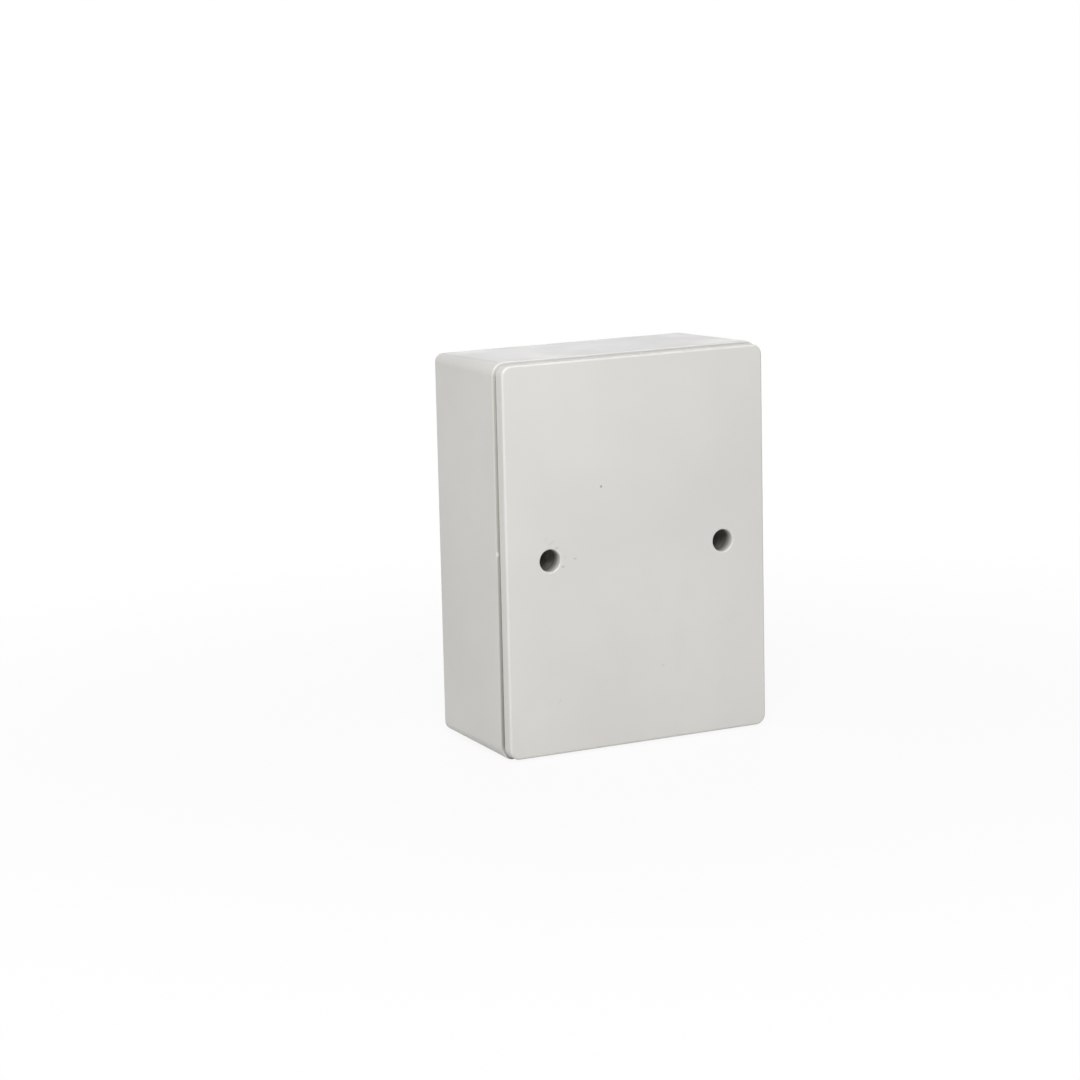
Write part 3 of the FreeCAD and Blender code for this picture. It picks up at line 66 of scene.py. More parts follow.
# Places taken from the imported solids

SHELL_LOW, SHELL_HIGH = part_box("front_shell")
OBJECT_MIDDLE = Vector((0, SHELL_LOW.y / 2, 0))
LABEL_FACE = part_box("scale_label")[0].y
LABEL_MIDDLE = middle_of("scale_label").z
DIAL_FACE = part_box("time_dial")[0].y
DIAL_CENTRE = Vector((middle_of("potentiometer_case").x, LABEL_FACE, LABEL_MIDDLE))
LAMP_CENTRE = Vector((middle_of("lamp_led").x, LABEL_FACE, LABEL_MIDDLE))
CAN_MIDDLE = middle_of("smoothing_capacitor")
CAN_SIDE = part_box("smoothing_capacitor")[1].x
CHIP_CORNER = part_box("timer_chip")[1]
BOARD_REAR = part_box("circuit_board")[1].y
WAY_CENTRES = [middle_of(f"clamp_cage_{way}") for way in (1, 2, 3, 4)]
GROOVE_FRONT = SHELL_HIGH.y
GROOVE_REAR = -2.1 * MM         # the plate's thickness in view
WALL_SCREWS = next(mount["dims"] for mount in frame["record"]["mounts"] if mount["name"] == "wall_screws")
BORE_X = WALL_SCREWS["spacing_x_mm"] / 2 * MM
BORE_RADIUS = WALL_SCREWS["hole_r_mm"] * MM


# Helpers for finishes: one node tree each, on object coordinates

CLOUD_LOW, CLOUD_HIGH = 0.3, 0.7            # most of a cloudy pattern lies between these
FLAT_COSINE, EDGE_COSINE = 0.99, 0.80       # how far a rounded normal has turned, on a flat and on an edge
MIX_AMOUNT, MIX_FIRST, MIX_SECOND = 0, 6, 7     # a Mix node's inputs for colours
MIX_RESULT = 2
SOFT = 0.03 * MM                            # half the width of a soft edge


def start_finish(name, colour, roughness, metal=0.0, **sockets):
    """Empty finish with its plain values on the shader's own sockets."""
    material = bpy.data.materials.new(name)
    material.use_nodes = True
    tree = material.node_tree
    shader = tree.nodes["Principled BSDF"]
    shader.inputs["Base Color"].default_value = (*colour, 1.0)
    shader.inputs["Roughness"].default_value = roughness
    shader.inputs["Metallic"].default_value = metal
    for socket, value in sockets.items():
        shader.inputs[socket.replace("_", " ")].default_value = value
    place = tree.nodes.new("ShaderNodeTexCoord")
    return material, tree, shader, place.outputs["Object"]


def feed(tree, socket, value):
    """Give a socket another socket's value, a number or a colour."""
    if isinstance(value, bpy.types.NodeSocket):
        tree.links.new(value, socket)
    elif isinstance(value, (int, float)):
        socket.default_value = value
    else:
        socket.default_value = (*value, 1.0)


def calc(tree, kind, *values):
    """One sum on sockets or numbers."""
    node = tree.nodes.new("ShaderNodeMath")
    node.operation = kind
    for socket, value in zip(node.inputs, values):
        feed(tree, socket, value)
    return node.outputs[0]


def product(tree, first, *others):
    """Sockets or numbers multiplied together."""
    for other in others:
        first = calc(tree, "MULTIPLY", first, other)
    return first


def measure(tree, kind, first, second=None):
    """One number worked out from places or directions."""
    node = tree.nodes.new("ShaderNodeVectorMath")
    node.operation = kind
    tree.links.new(first, node.inputs[0])
    if isinstance(second, bpy.types.NodeSocket):
        tree.links.new(second, node.inputs[1])
    elif second is not None:
        node.inputs[1].default_value = second
    return node.outputs["Value"]


def axes_of(tree, way):
    """The X, Y and Z of a place or a direction."""
    parts = tree.nodes.new("ShaderNodeSeparateXYZ")
    tree.links.new(way, parts.inputs[0])
    return parts.outputs


def facing(tree):
    """The X, Y and Z of the way a surface faces."""
    surface = tree.nodes.new("ShaderNodeNewGeometry")
    return axes_of(tree, surface.outputs["Normal"])


def grain(tree, place, size, detail=2.0, stretch=(1.0, 1.0, 1.0), rough=0.5):
    """Cloudy pattern from 0 to 1 whose marks are about a size across."""
    turn = tree.nodes.new("ShaderNodeMapping")
    turn.inputs["Scale"].default_value = stretch
    tree.links.new(place, turn.inputs["Vector"])
    noise = tree.nodes.new("ShaderNodeTexNoise")
    noise.inputs["Scale"].default_value = 1.0 / size
    noise.inputs["Detail"].default_value = detail
    noise.inputs["Roughness"].default_value = rough
    tree.links.new(turn.outputs["Vector"], noise.inputs["Vector"])
    return noise.outputs["Fac"]


def stripes(tree, place, axis, size, wobble=0.0):
    """Soft stripes from 0 to 1 along an axis, about three to a size."""
    wave = tree.nodes.new("ShaderNodeTexWave")
    wave.bands_direction = axis
    wave.inputs["Scale"].default_value = 1.0 / size
    wave.inputs["Distortion"].default_value = wobble
    tree.links.new(place, wave.inputs["Vector"])
    return wave.outputs["Fac"]


def spread(tree, value, low, high, to_low=0.0, to_high=1.0, smooth=True):
    """Bring a range of a pattern to another range."""
    node = tree.nodes.new("ShaderNodeMapRange")
    node.interpolation_type = "SMOOTHSTEP" if smooth else "LINEAR"
    for name, number in (("From Min", low), ("From Max", high), ("To Min", to_low), ("To Max", to_high)):
        node.inputs[name].default_value = number
    tree.links.new(value, node.inputs["Value"])
    return node.outputs["Result"]


def past(tree, value, level, soft=SOFT, full=1.0):
    """Full past a level and 0 before it, with a soft edge."""
    return spread(tree, value, level - soft, level + soft, 0.0, full)


def before(tree, value, level, soft=SOFT):
    """1 before a level and 0 past it, with a soft edge."""
    return spread(tree, value, level - soft, level + soft, 1.0, 0.0)


def blend_colours(tree, amount, first, second):
    """Two colours mixed by an amount."""
    node = tree.nodes.new("ShaderNodeMix")
    node.data_type = "RGBA"
    for number, value in ((MIX_AMOUNT, amount), (MIX_FIRST, first), (MIX_SECOND, second)):
        feed(tree, node.inputs[number], value)
    return node.outputs[MIX_RESULT]


def lay_over(tree, body, layers):
    """A body colour with further colours laid over it, each by its own amount."""
    for amount, colour in layers:
        body = blend_colours(tree, amount, body, colour)
    return body


def two_tones(tree, pattern, dark, light, low=CLOUD_LOW, high=CLOUD_HIGH):
    """A colour that follows a pattern from dark to light."""
    return blend_colours(tree, spread(tree, pattern, low, high), dark, light)


def toned(colour, share):
    """A colour made darker or lighter."""
    return [min(1.0, part * share) for part in colour]


def paler(colour, share):
    """A colour moved a share of the way to white."""
    return [part + (1 - part) * share for part in colour]


def uneven_gloss(tree, shader, pattern, low, high):
    """Let the roughness follow a pattern between two values."""
    tree.links.new(spread(tree, pattern, CLOUD_LOW, CLOUD_HIGH, low, high), shader.inputs["Roughness"])


def relief(tree, shader, height, depth, strength, below=None):
    """Raise the surface by a pattern, up to a depth."""
    node = tree.nodes.new("ShaderNodeBump")
    node.inputs["Strength"].default_value = strength
    node.inputs["Distance"].default_value = depth
    tree.links.new(height, node.inputs["Height"])
    if below is not None:
        tree.links.new(below, node.inputs["Normal"])
    tree.links.new(node.outputs["Normal"], shader.inputs["Normal"])
    return node.outputs["Normal"]


def edge_lightness(tree, radius):
    """1 along outer and inner edges, 0 on the flats, from how a rounded normal leaves the face."""
    rounding = tree.nodes.new("ShaderNodeBevel")
    rounding.samples = 6
    rounding.inputs["Radius"].default_value = radius
    surface = tree.nodes.new("ShaderNodeNewGeometry")
    cosine = measure(tree, "DOT_PRODUCT", rounding.outputs["Normal"], surface.outputs["Normal"])
    return spread(tree, cosine, FLAT_COSINE, EDGE_COSINE)


def long_side(tree, across, upward):
    """Length of the slanted side over two sides at right angles."""
    squares = [product(tree, side, side) for side in (across, upward)]
    return calc(tree, "SQRT", calc(tree, "ADD", *squares))


def near_point(tree, place, point, reach, full):
    """Full round a point in millimetres, falling from half its reach to 0 at the whole."""
    away = measure(tree, "DISTANCE", place, [value * MM for value in point])
    return spread(tree, away, reach / 2 * MM, reach * MM, full, 0.0)


# Case plastic

CASE_COLOUR = (0.702, 0.689, 0.660)
# Pale edges: partly edge wear, partly a painted highlight on the upper edges
EDGE_WEAR_AND_HIGHLIGHT_PALE = (0.86, 0.85, 0.82)
# Pale for the painted highlight on upper rear roundings, and for the real nick
HIGHLIGHT_AND_NICK_PALE = (0.92, 0.91, 0.88)
# Painted shade for the top face
TOP_PAINTED_SHADE = (0.54, 0.545, 0.565)
# Painted shade for the groove between shell and plate
SEAM_PAINTED_SHADE = (0.22, 0.21, 0.17)
# Painted shade for the inside of the screw bores
BORE_PAINTED_SHADE = (0.075, 0.072, 0.060)
RUB_DARK = (0.24, 0.235, 0.23)
SPECK_DARK = (0.06, 0.055, 0.05)
SPECK_PLACE = (6.76, 0.0, 11.56)
NICK_PLACE = (25.15, -2.5, 1.6)

# Rub marks on the plate: x, z, length, width in millimetres, turn in degrees, darkness
RUB_MARKS = [
    (11.96, -0.07, 0.75, 0.40, 5, 0.34),
    (14.23, -1.22, 0.60, 0.48, 30, 0.38),
    (15.35, 2.05, 1.00, 0.32, 12, 0.30),
    (16.40, 2.95, 1.90, 0.28, 30, 0.16),
    (17.40, 3.70, 1.10, 0.28, 65, 0.12),
    (13.75, 0.35, 1.30, 0.24, 80, 0.12),
    (-4.55, -20.2, 0.90, 0.45, 15, 0.14),
    (15.30, -23.9, 1.00, 0.34, 60, 0.15),
]


def rub_mark(tree, place, x, z, long, wide, turn, darkness):
    """Dark inside a small soft ellipse on the plate, falling to 0 at its outline."""
    oval = tree.nodes.new("ShaderNodeMapping")
    oval.vector_type = "TEXTURE"
    oval.inputs["Location"].default_value = (x * MM, 0.0, z * MM)
    oval.inputs["Rotation"].default_value = (0.0, math.radians(turn), 0.0)
    oval.inputs["Scale"].default_value = (long / 2 * MM, MM, wide / 2 * MM)
    tree.links.new(place, oval.inputs["Vector"])
    return spread(tree, measure(tree, "LENGTH", oval.outputs[0]), 0.3, 1.15, darkness, 0.0)


def bore_grime(tree, place):
    """Painted shade in the two screw bores, darkest a few millimetres in."""
    x_axis, y_axis, z_axis = axes_of(tree, place)
    across = calc(tree, "SUBTRACT", calc(tree, "ABSOLUTE", x_axis), BORE_X)
    away = long_side(tree, across, z_axis)
    inside = spread(tree, away, BORE_RADIUS + 0.03 * MM, BORE_RADIUS + 0.12 * MM, 1.0, 0.0)
    from_mouth = spread(tree, y_axis, -2.0 * MM, -0.25 * MM, 0.74, 0.0)
    deep_down = spread(tree, y_axis, -4.8 * MM, -3.2 * MM, 0.6, 1.0)
    return product(tree, inside, from_mouth, deep_down)


def seam_dust(tree, place):
    """Painted shade in the groove between shell and plate, none at its ends and darker towards the bottom.
    """
    _, y_axis, z_axis = axes_of(tree, place)
    past_rim = spread(tree, y_axis, GROOVE_FRONT - 0.24 * MM, GROOVE_FRONT + 0.02 * MM)
    before_plate = spread(tree, y_axis, GROOVE_REAR - 0.08 * MM, GROOVE_REAR + 0.02 * MM, 1.0, 0.0)
    lower = spread(tree, z_axis, -30 * MM, 32 * MM, 0.72, 0.40, smooth=False)
    top = spread(tree, z_axis, 30.5 * MM, 32.8 * MM, 1.0, 0.0)
    foot = spread(tree, z_axis, -33.0 * MM, -30.5 * MM)
    return product(tree, past_rim, before_plate, lower, top, foot)


def top_dust(tree, place):
    """Painted shade on the top face: even, with a faint cloud, darker and cooler."""
    level = spread(tree, facing(tree)["Z"], 0.85, 0.98)
    cloud = grain(tree, place, 6 * MM, detail=3.0)
    return product(tree, level, spread(tree, cloud, CLOUD_LOW, CLOUD_HIGH, 0.42, 0.54))


def facing_up(tree):
    """How far a surface faces up: little on side edges, full on upper edges, where the painted highlight
    goes.
    """
    return spread(tree, facing(tree)["Z"], 0.05, 0.45, 0.12, 1.0)


def upper_rear_edge(tree):
    """1 on roundings that face both up and to the wall, which get a painted highlight."""
    way = facing(tree)
    return product(tree, spread(tree, way["Z"], 0.15, 0.5), spread(tree, way["Y"], 0.15, 0.5))


def make_case_plastic():
    """Light warm-grey case moulding with a fine matt skin and the marks of handling on its plate, with
    painted shade in the groove, the bores and on the top face, and painted highlights on upper edges.
    """
    name = "case_plastic_matt"
    material, tree, shader, place = start_finish(name, CASE_COLOUR, roughness=0.66, Specular_IOR_Level=0.25)
    slow = grain(tree, place, 28 * MM)
    mottle = spread(tree, grain(tree, place, 5 * MM, detail=3.0), 0.45, 0.75, 0.0, 0.35)
    patchy_wear_and_sheen = spread(tree, grain(tree, place, 2.5 * MM, detail=3.0), 0.35, 0.65, 0.6, 1.0)
    body = two_tones(tree, slow, toned(CASE_COLOUR, 0.965), toned(CASE_COLOUR, 1.02))
    body = lay_over(tree, body, [
        (mottle, toned(CASE_COLOUR, 0.97)),
        # Pale edges, partly wear and partly a painted highlight where light from above catches the upper
        # edges
        (product(tree, edge_lightness(tree, 0.34 * MM), facing_up(tree), patchy_wear_and_sheen), EDGE_WEAR_AND_HIGHLIGHT_PALE),
        # Painted shade: the whole top face made darker and cooler
        (top_dust(tree, place), TOP_PAINTED_SHADE),
        # Painted highlight on the roundings that face up and to the wall
        (product(tree, upper_rear_edge(tree), patchy_wear_and_sheen, 0.6), HIGHLIGHT_AND_NICK_PALE),
        # Painted shade in the groove between shell and plate
        (seam_dust(tree, place), SEAM_PAINTED_SHADE),
        # Painted shade deep in the screw bores
        (bore_grime(tree, place), BORE_PAINTED_SHADE),
        *[(rub_mark(tree, place, *mark), RUB_DARK) for mark in RUB_MARKS],
        (near_point(tree, place, SPECK_PLACE, reach=0.28, full=0.5), SPECK_DARK),
        # A real nick in the shell's edge, pale where the plastic is bared
        (near_point(tree, place, NICK_PLACE, reach=0.55, full=0.4), HIGHLIGHT_AND_NICK_PALE),
    ])
    tree.links.new(body, shader.inputs["Base Color"])
    uneven_gloss(tree, shader, grain(tree, place, 6 * MM, detail=3.0), 0.61, 0.71)
    flow = relief(tree, shader, grain(tree, place, 16 * MM, detail=1.0), depth=0.06 * MM, strength=0.2)
    fine = grain(tree, place, 0.22 * MM, detail=3.0, rough=0.6)
    relief(tree, shader, fine, depth=0.006 * MM, strength=0.55, below=flow)
    return material


# Plastics, metals and the other finishes

def plain_plastic(name, colour, roughness, tone, grain_size, depth, wear):
    """Moulded plastic: slow tone change, fine surface grain, uneven gloss, rubbed edges."""
    material, tree, shader, place = start_finish(name, colour, roughness)
    slow = grain(tree, place, 9 * MM, detail=3.0)
    body = two_tones(tree, slow, toned(colour, 1 - tone), toned(colour, 1 + tone))
    rubbed = product(tree, edge_lightness(tree, 0.15 * MM), wear)
    body = blend_colours(tree, rubbed, body, paler(colour, 0.35))
    tree.links.new(body, shader.inputs["Base Color"])
    uneven_gloss(tree, shader, grain(tree, place, 3 * MM), roughness - 0.05, roughness + 0.06)
    fine = grain(tree, place, grain_size * MM, detail=3.0, rough=0.6)
    relief(tree, shader, fine, depth * MM, strength=0.6)
    return material


def worked_metal(name, colour, roughness, stretch=(1.0, 1.0, 1.0), line=0.12, depth=0.002):
    """Metal with fine drawn lines, a dull cloud and brighter edges."""
    material, tree, shader, place = start_finish(name, colour, roughness, metal=1.0)
    lines = grain(tree, place, line * MM, stretch=stretch)
    cloud = grain(tree, place, 1.6 * MM, detail=3.0)
    body = two_tones(tree, cloud, toned(colour, 0.88), toned(colour, 1.12))
    edge = product(tree, edge_lightness(tree, 0.08 * MM), 0.5)
    body = blend_colours(tree, edge, body, paler(colour, 0.5))
    tree.links.new(body, shader.inputs["Base Color"])
    uneven_gloss(tree, shader, lines, roughness - 0.08, roughness + 0.1)
    relief(tree, shader, lines, depth * MM, strength=0.5)
    return material


def make_board_laminate():
    """Green lacquer over glass weave."""
    colour = (0.018, 0.105, 0.045)
    material, tree, shader, place = start_finish("board_green_lacquer", colour, roughness=0.34)
    weave = product(tree, *[stripes(tree, place, axis, 1.1 * MM) for axis in "XZ"])
    cloud = grain(tree, place, 7 * MM)
    body = two_tones(tree, cloud, colour, (0.026, 0.135, 0.058))
    body = blend_colours(tree, product(tree, weave, 0.25), body, (0.045, 0.17, 0.08))
    tree.links.new(body, shader.inputs["Base Color"])
    uneven_gloss(tree, shader, cloud, 0.28, 0.42)
    relief(tree, shader, weave, depth=0.01 * MM, strength=0.4)
    return material


def make_copper_winding():
    """Enamelled wire laid turn by turn along the bobbin."""
    colour = (0.62, 0.25, 0.10)
    material, tree, shader, place = start_finish("coil_enamelled_copper", colour, roughness=0.3, metal=1.0)
    turns = stripes(tree, place, "Z", 2.2 * MM, wobble=0.6)
    body = blend_colours(tree, turns, (0.34, 0.11, 0.04), (0.78, 0.36, 0.16))
    tree.links.new(body, shader.inputs["Base Color"])
    uneven_gloss(tree, shader, grain(tree, place, 1 * MM), 0.24, 0.38)
    relief(tree, shader, turns, depth=0.05 * MM, strength=0.8)
    return material


def make_lamp_red():
    """Red diffusing lens, deeper inside."""
    colour = (0.55, 0.02, 0.015)
    coat = {"Coat_Weight": 0.5, "Coat_Roughness": 0.08}
    material, tree, shader, place = start_finish("lamp_red_lens", colour, roughness=0.18, **coat)
    cloud = grain(tree, place, 1.2 * MM)
    body = two_tones(tree, cloud, (0.42, 0.012, 0.01), (0.62, 0.03, 0.02))
    tree.links.new(body, shader.inputs["Base Color"])
    uneven_gloss(tree, shader, cloud, 0.14, 0.24)
    relief(tree, shader, grain(tree, place, 0.3 * MM), depth=0.003 * MM, strength=0.4)
    return material


def make_diode_glass():
    """Amber glass body."""
    colour = (0.70, 0.22, 0.05)
    coat = {"Coat_Weight": 1.0, "Coat_Roughness": 0.03}
    material, tree, shader, place = start_finish("diode_amber_glass", colour, roughness=0.08, **coat)
    streak = grain(tree, place, 0.8 * MM, stretch=(0.3, 1.0, 1.0))
    body = two_tones(tree, streak, (0.55, 0.13, 0.03), (0.80, 0.34, 0.10), 0.35, 0.65)
    tree.links.new(body, shader.inputs["Base Color"])
    uneven_gloss(tree, shader, streak, 0.06, 0.14)
    return material


# Plastics by slot: name, colour, roughness, tone change, grain size and depth in millimetres, edge wear
PLASTICS = {
    "label_film": ("label_satin_film", (0.74, 0.74, 0.72), 0.38, 0.015, 0.12, 0.002, 0.1),
    "dial_plastic": ("dial_dark_grey", (0.045, 0.048, 0.052), 0.36, 0.08, 0.18, 0.004, 0.25),
    "white_plastic": ("white_nylon", (0.78, 0.77, 0.72), 0.42, 0.03, 0.2, 0.004, 0.1),
    "blue_plastic": ("blue_epoxy", (0.035, 0.11, 0.36), 0.32, 0.10, 0.35, 0.010, 0.15),
    "carbon_track": ("carbon_print", (0.022, 0.022, 0.022), 0.6, 0.15, 0.1, 0.004, 0.1),
    "terminal_plastic": ("terminal_dark_polyamide", (0.055, 0.060, 0.062), 0.5, 0.10, 0.2, 0.006, 0.2),
    "relay_plastic": ("relay_black_plastic", (0.014, 0.014, 0.016), 0.26, 0.12, 0.2, 0.003, 0.2),
    "film_box": ("film_box_yellow", (0.62, 0.40, 0.035), 0.3, 0.06, 0.3, 0.006, 0.2),
    "can_sleeve": ("can_dark_sleeve", (0.014, 0.018, 0.045), 0.24, 0.1, 0.4, 0.004, 0.15),
    "black_plastic": ("moulded_black_epoxy", (0.022, 0.022, 0.023), 0.5, 0.12, 0.12, 0.006, 0.2),
    "resistor_coat": ("resistor_beige_lacquer", (0.52, 0.36, 0.20), 0.28, 0.08, 0.4, 0.010, 0.1),
}

# Metals by slot: name, colour, roughness, stretch of the lines, their size and depth in millimetres
METALS = {
    "spring_bronze": ("spring_bronze_strip", (0.72, 0.48, 0.26), 0.28, (1.0, 1.0, 0.1)),
    "zinc_steel": ("zinc_plated_steel", (0.52, 0.53, 0.54), 0.36, (1.0, 0.15, 1.0)),
    "tinned_metal": ("tinned_solder", (0.60, 0.60, 0.60), 0.30, (1.0, 1.0, 1.0), 0.3, 0.004),
    "soft_iron": ("nickel_plated_iron", (0.44, 0.43, 0.41), 0.38, (1.0, 1.0, 0.15)),
    "contact_silver": ("contact_silver_alloy", (0.80, 0.79, 0.76), 0.24),
}

FINISHES = {slot: plain_plastic(*values) for slot, values in PLASTICS.items()}
FINISHES |= {slot: worked_metal(*values) for slot, values in METALS.items()}
FINISHES["case_plastic"] = make_case_plastic()
FINISHES["board_laminate"] = make_board_laminate()
FINISHES["copper_wire"] = make_copper_winding()
FINISHES["lamp_lens"] = make_lamp_red()
FINISHES["diode_glass"] = make_diode_glass()
INK = plain_plastic("print_dark_ink", (0.030, 0.031, 0.034), 0.45, 0.12, 0.08, 0.002, 0.0)
SCREENED_TRACK = plain_plastic("track_under_lacquer", (0.035, 0.19, 0.085), 0.3, 0.08, 0.4, 0.004, 0.2)


# Paint on parts of some finishes

DIAL_PAINT_RADIUS = 3.95 * MM
DIAL_PAINT_FROM, DIAL_PAINT_TO = 0.32 * MM, 1.8 * MM        # depths under the dial's face
CAN_STRIPE_WIDE = 1.3 * MM
CAN_LID_RADIUS = 3.1 * MM
CHIP_DOT_INSET = Vector((1.24 * MM, 0, 1.378 * MM))
CHIP_DOT_RADIUS = 0.42 * MM
RING_HALF = 0.28 * MM
PAINT_SOFT = 0.05 * MM


def round_area(tree, place, centre, radius):
    """1 inside a circle round a line along the depth."""
    x_axis, _, z_axis = axes_of(tree, place)
    across = calc(tree, "SUBTRACT", x_axis, centre.x)
    upward = calc(tree, "SUBTRACT", z_axis, centre.z)
    return before(tree, long_side(tree, across, upward), radius)


def front_disc(tree, place, node, centre, radius):
    """1 inside a circle on the front end of a node."""
    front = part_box(node)[0].y
    on_front = before(tree, axes_of(tree, place)["Y"], front + 0.1 * MM)
    return product(tree, round_area(tree, place, centre, radius), on_front)


def dial_groove(tree, place):
    """Paint in the dial's slot and arrow."""
    inside = round_area(tree, place, DIAL_CENTRE, DIAL_PAINT_RADIUS)
    y_axis = axes_of(tree, place)["Y"]
    under_face = past(tree, y_axis, DIAL_FACE + DIAL_PAINT_FROM)
    over_back = before(tree, y_axis, DIAL_FACE + DIAL_PAINT_TO)
    return product(tree, inside, under_face, over_back, 0.9)


def can_stripe(tree, place):
    """Pale stripe down the can's side that marks its negative lead."""
    return past(tree, axes_of(tree, place)["X"], CAN_SIDE - CAN_STRIPE_WIDE, PAINT_SOFT, full=0.8)


def can_lid(tree, place):
    """Bare aluminium end that the sleeve leaves open."""
    return front_disc(tree, place, "smoothing_capacitor", CAN_MIDDLE, CAN_LID_RADIUS)


def chip_dot(tree, place):
    """Small pale dot in a corner beside the chip's notch."""
    return front_disc(tree, place, "timer_chip", CHIP_CORNER - CHIP_DOT_INSET, CHIP_DOT_RADIUS)


def ring_band(x):
    """Painted ring round a lying resistor at x."""
    def area(tree, place):
        x_axis = axes_of(tree, place)["X"]
        left = past(tree, x_axis, x - RING_HALF, PAINT_SOFT)
        return product(tree, left, before(tree, x_axis, x + RING_HALF, PAINT_SOFT))
    return area


def paint(finish, areas):
    """Lay colours over a finish, each inside its own area."""
    tree = finish.node_tree
    place = tree.nodes["Texture Coordinate"].outputs["Object"]
    colour = tree.nodes["Principled BSDF"].inputs["Base Color"]
    layers = [(area(tree, place), paint_colour) for area, paint_colour in areas]
    tree.links.new(lay_over(tree, colour.links[0].from_socket, layers), colour)


# Resistors, in millimetres: the middle of each along X, and each ring's distance from it and colour
RESISTOR_MIDDLES = (-6.0, 7.0, 15.15)
RINGS = {
    -1.9: (0.10, 0.035, 0.015),
    -1.0: (0.015, 0.015, 0.016),
    -0.1: (0.55, 0.045, 0.02),
    1.7: (0.42, 0.29, 0.08),
}

paint(FINISHES["dial_plastic"], [(dial_groove, (0.70, 0.70, 0.68))])
paint(FINISHES["can_sleeve"], [(can_stripe, (0.62, 0.62, 0.60)), (can_lid, (0.60, 0.60, 0.60))])
paint(FINISHES["black_plastic"], [(chip_dot, (0.30, 0.30, 0.29))])
paint(FINISHES["resistor_coat"], [(ring_band((middle + step) * MM), colour) for middle in RESISTOR_MIDDLES
                                  for step, colour in RINGS.items()])

for part in frame["record"]["subparts"]:
    mesh = nodes[part["node"]].data
    mesh.materials.clear()
    mesh.materials.append(FINISHES[part["material_slot"]])


# Helpers for new pieces

TO_FRONT = Matrix.Rotation(math.radians(90), 4, "X")
TO_REAR = Matrix.Rotation(math.radians(-90), 4, "X")
FULL_TURN = 2 * math.pi


def put_in_scene(name, data):
    """New object with its data."""
    thing = bpy.data.objects.new(name, data)
    scene.collection.objects.link(thing)
    return thing


def mesh_from(name, shape, finish):
    """Close a bmesh into a mesh with its finish."""
    bmesh.ops.recalc_face_normals(shape, faces=shape.faces)
    mesh = bpy.data.meshes.new(name)
    shape.to_mesh(mesh)
    shape.free()
    mesh.materials.append(finish)
    return mesh


def make_piece(name, shape, finish):
    """Enter a finished shape as a piece that rides on the case."""
    piece = put_in_scene(name, mesh_from(name, shape, finish))
    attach(piece, "case")


def faces_at(corners):
    """The faces that meet at some corners."""
    return list({face for corner in corners for face in corner.link_faces})


def raise_flat(shape, faces, rise):
    """Give flat faces a height along the depth."""
    raised = bmesh.ops.extrude_face_region(shape, geom=faces)
    top = [item for item in raised["geom"] if isinstance(item, bmesh.types.BMVert)]
    bmesh.ops.translate(shape, vec=(0, rise, 0), verts=top)


# Prints on the front

PRINT_THICK = 0.02 * MM
MARKING_FACE = SHELL_LOW.y + 0.3 * MM       # floor of the shallow field that holds the way numbers
MARKING_UP = 5.704 * MM
SCALE_STEPS = 10
SWEEP = math.radians(270)
TICK_FOOT = 5.6 * MM
TICK_WIDE = 0.25 * MM
LONG_TICK = 1.0 * MM
SHORT_TICK = 0.6 * MM
SCALE_ARC_RADIUS = 5.45 * MM
SCALE_ARC_WIDE = 0.22 * MM
NUMBER_RING = 8.0 * MM
NUMBER_HIGH = 2.3 * MM
LAMP_RING_RADIUS = 2.3 * MM
LAMP_RING_WIDE = 0.2 * MM
LAMP_WORD_DOWN = 4.2 * MM
LAMP_WORD_HIGH = 2.4 * MM
WAY_NUMBER_HIGH = 2.7 * MM


def add_words(shape, words, centre, high):
    """Flat lettering on the front side, centred on a point."""
    curve = bpy.data.curves.new("lettering", "FONT")
    curve.body = words
    curve.align_x, curve.align_y = "CENTER", "CENTER"
    curve.size = high
    curve.extrude = PRINT_THICK / 2
    holder = put_in_scene("lettering", curve)
    bpy.context.view_layer.update()
    ready = holder.evaluated_get(bpy.context.evaluated_depsgraph_get())
    mesh = bpy.data.meshes.new_from_object(ready)
    mesh.transform(Matrix.Translation(centre) @ TO_FRONT)
    shape.from_mesh(mesh)
    bpy.data.objects.remove(holder)
    bpy.data.curves.remove(curve)
    bpy.data.meshes.remove(mesh)


def add_bar(shape, centre, wide, high, turn):
    """Flat printed bar, turned clockwise about the depth as seen from the front."""
    corners = bmesh.ops.create_grid(shape, x_segments=1, y_segments=1, size=0.5)["verts"]
    bmesh.ops.scale(shape, vec=(wide, high, 1.0), verts=corners)
    move = Matrix.Translation(centre) @ TO_FRONT @ Matrix.Rotation(-turn, 4, "Z")
    bmesh.ops.transform(shape, matrix=move, verts=corners)
    raise_flat(shape, faces_at(corners), -PRINT_THICK)


def add_arc(shape, centre, radius, wide, start, end, steps):
    """Flat printed arc round a point, between two clockwise angles from the top."""
    earlier = set(shape.faces)
    ends = [shape.verts.new(centre + Vector((0, 0, radius + side * wide / 2))) for side in (-1, 1)]
    edge = shape.edges.new(ends)
    bmesh.ops.rotate(shape, verts=ends, cent=centre, matrix=Matrix.Rotation(start, 3, "Y"))
    closed = math.isclose(end - start, FULL_TURN)
    bmesh.ops.spin(shape, geom=[*ends, edge], axis=(0, 1, 0), cent=centre, angle=end - start, steps=steps,
                   use_merge=closed)
    raise_flat(shape, [face for face in shape.faces if face not in earlier], -PRINT_THICK)


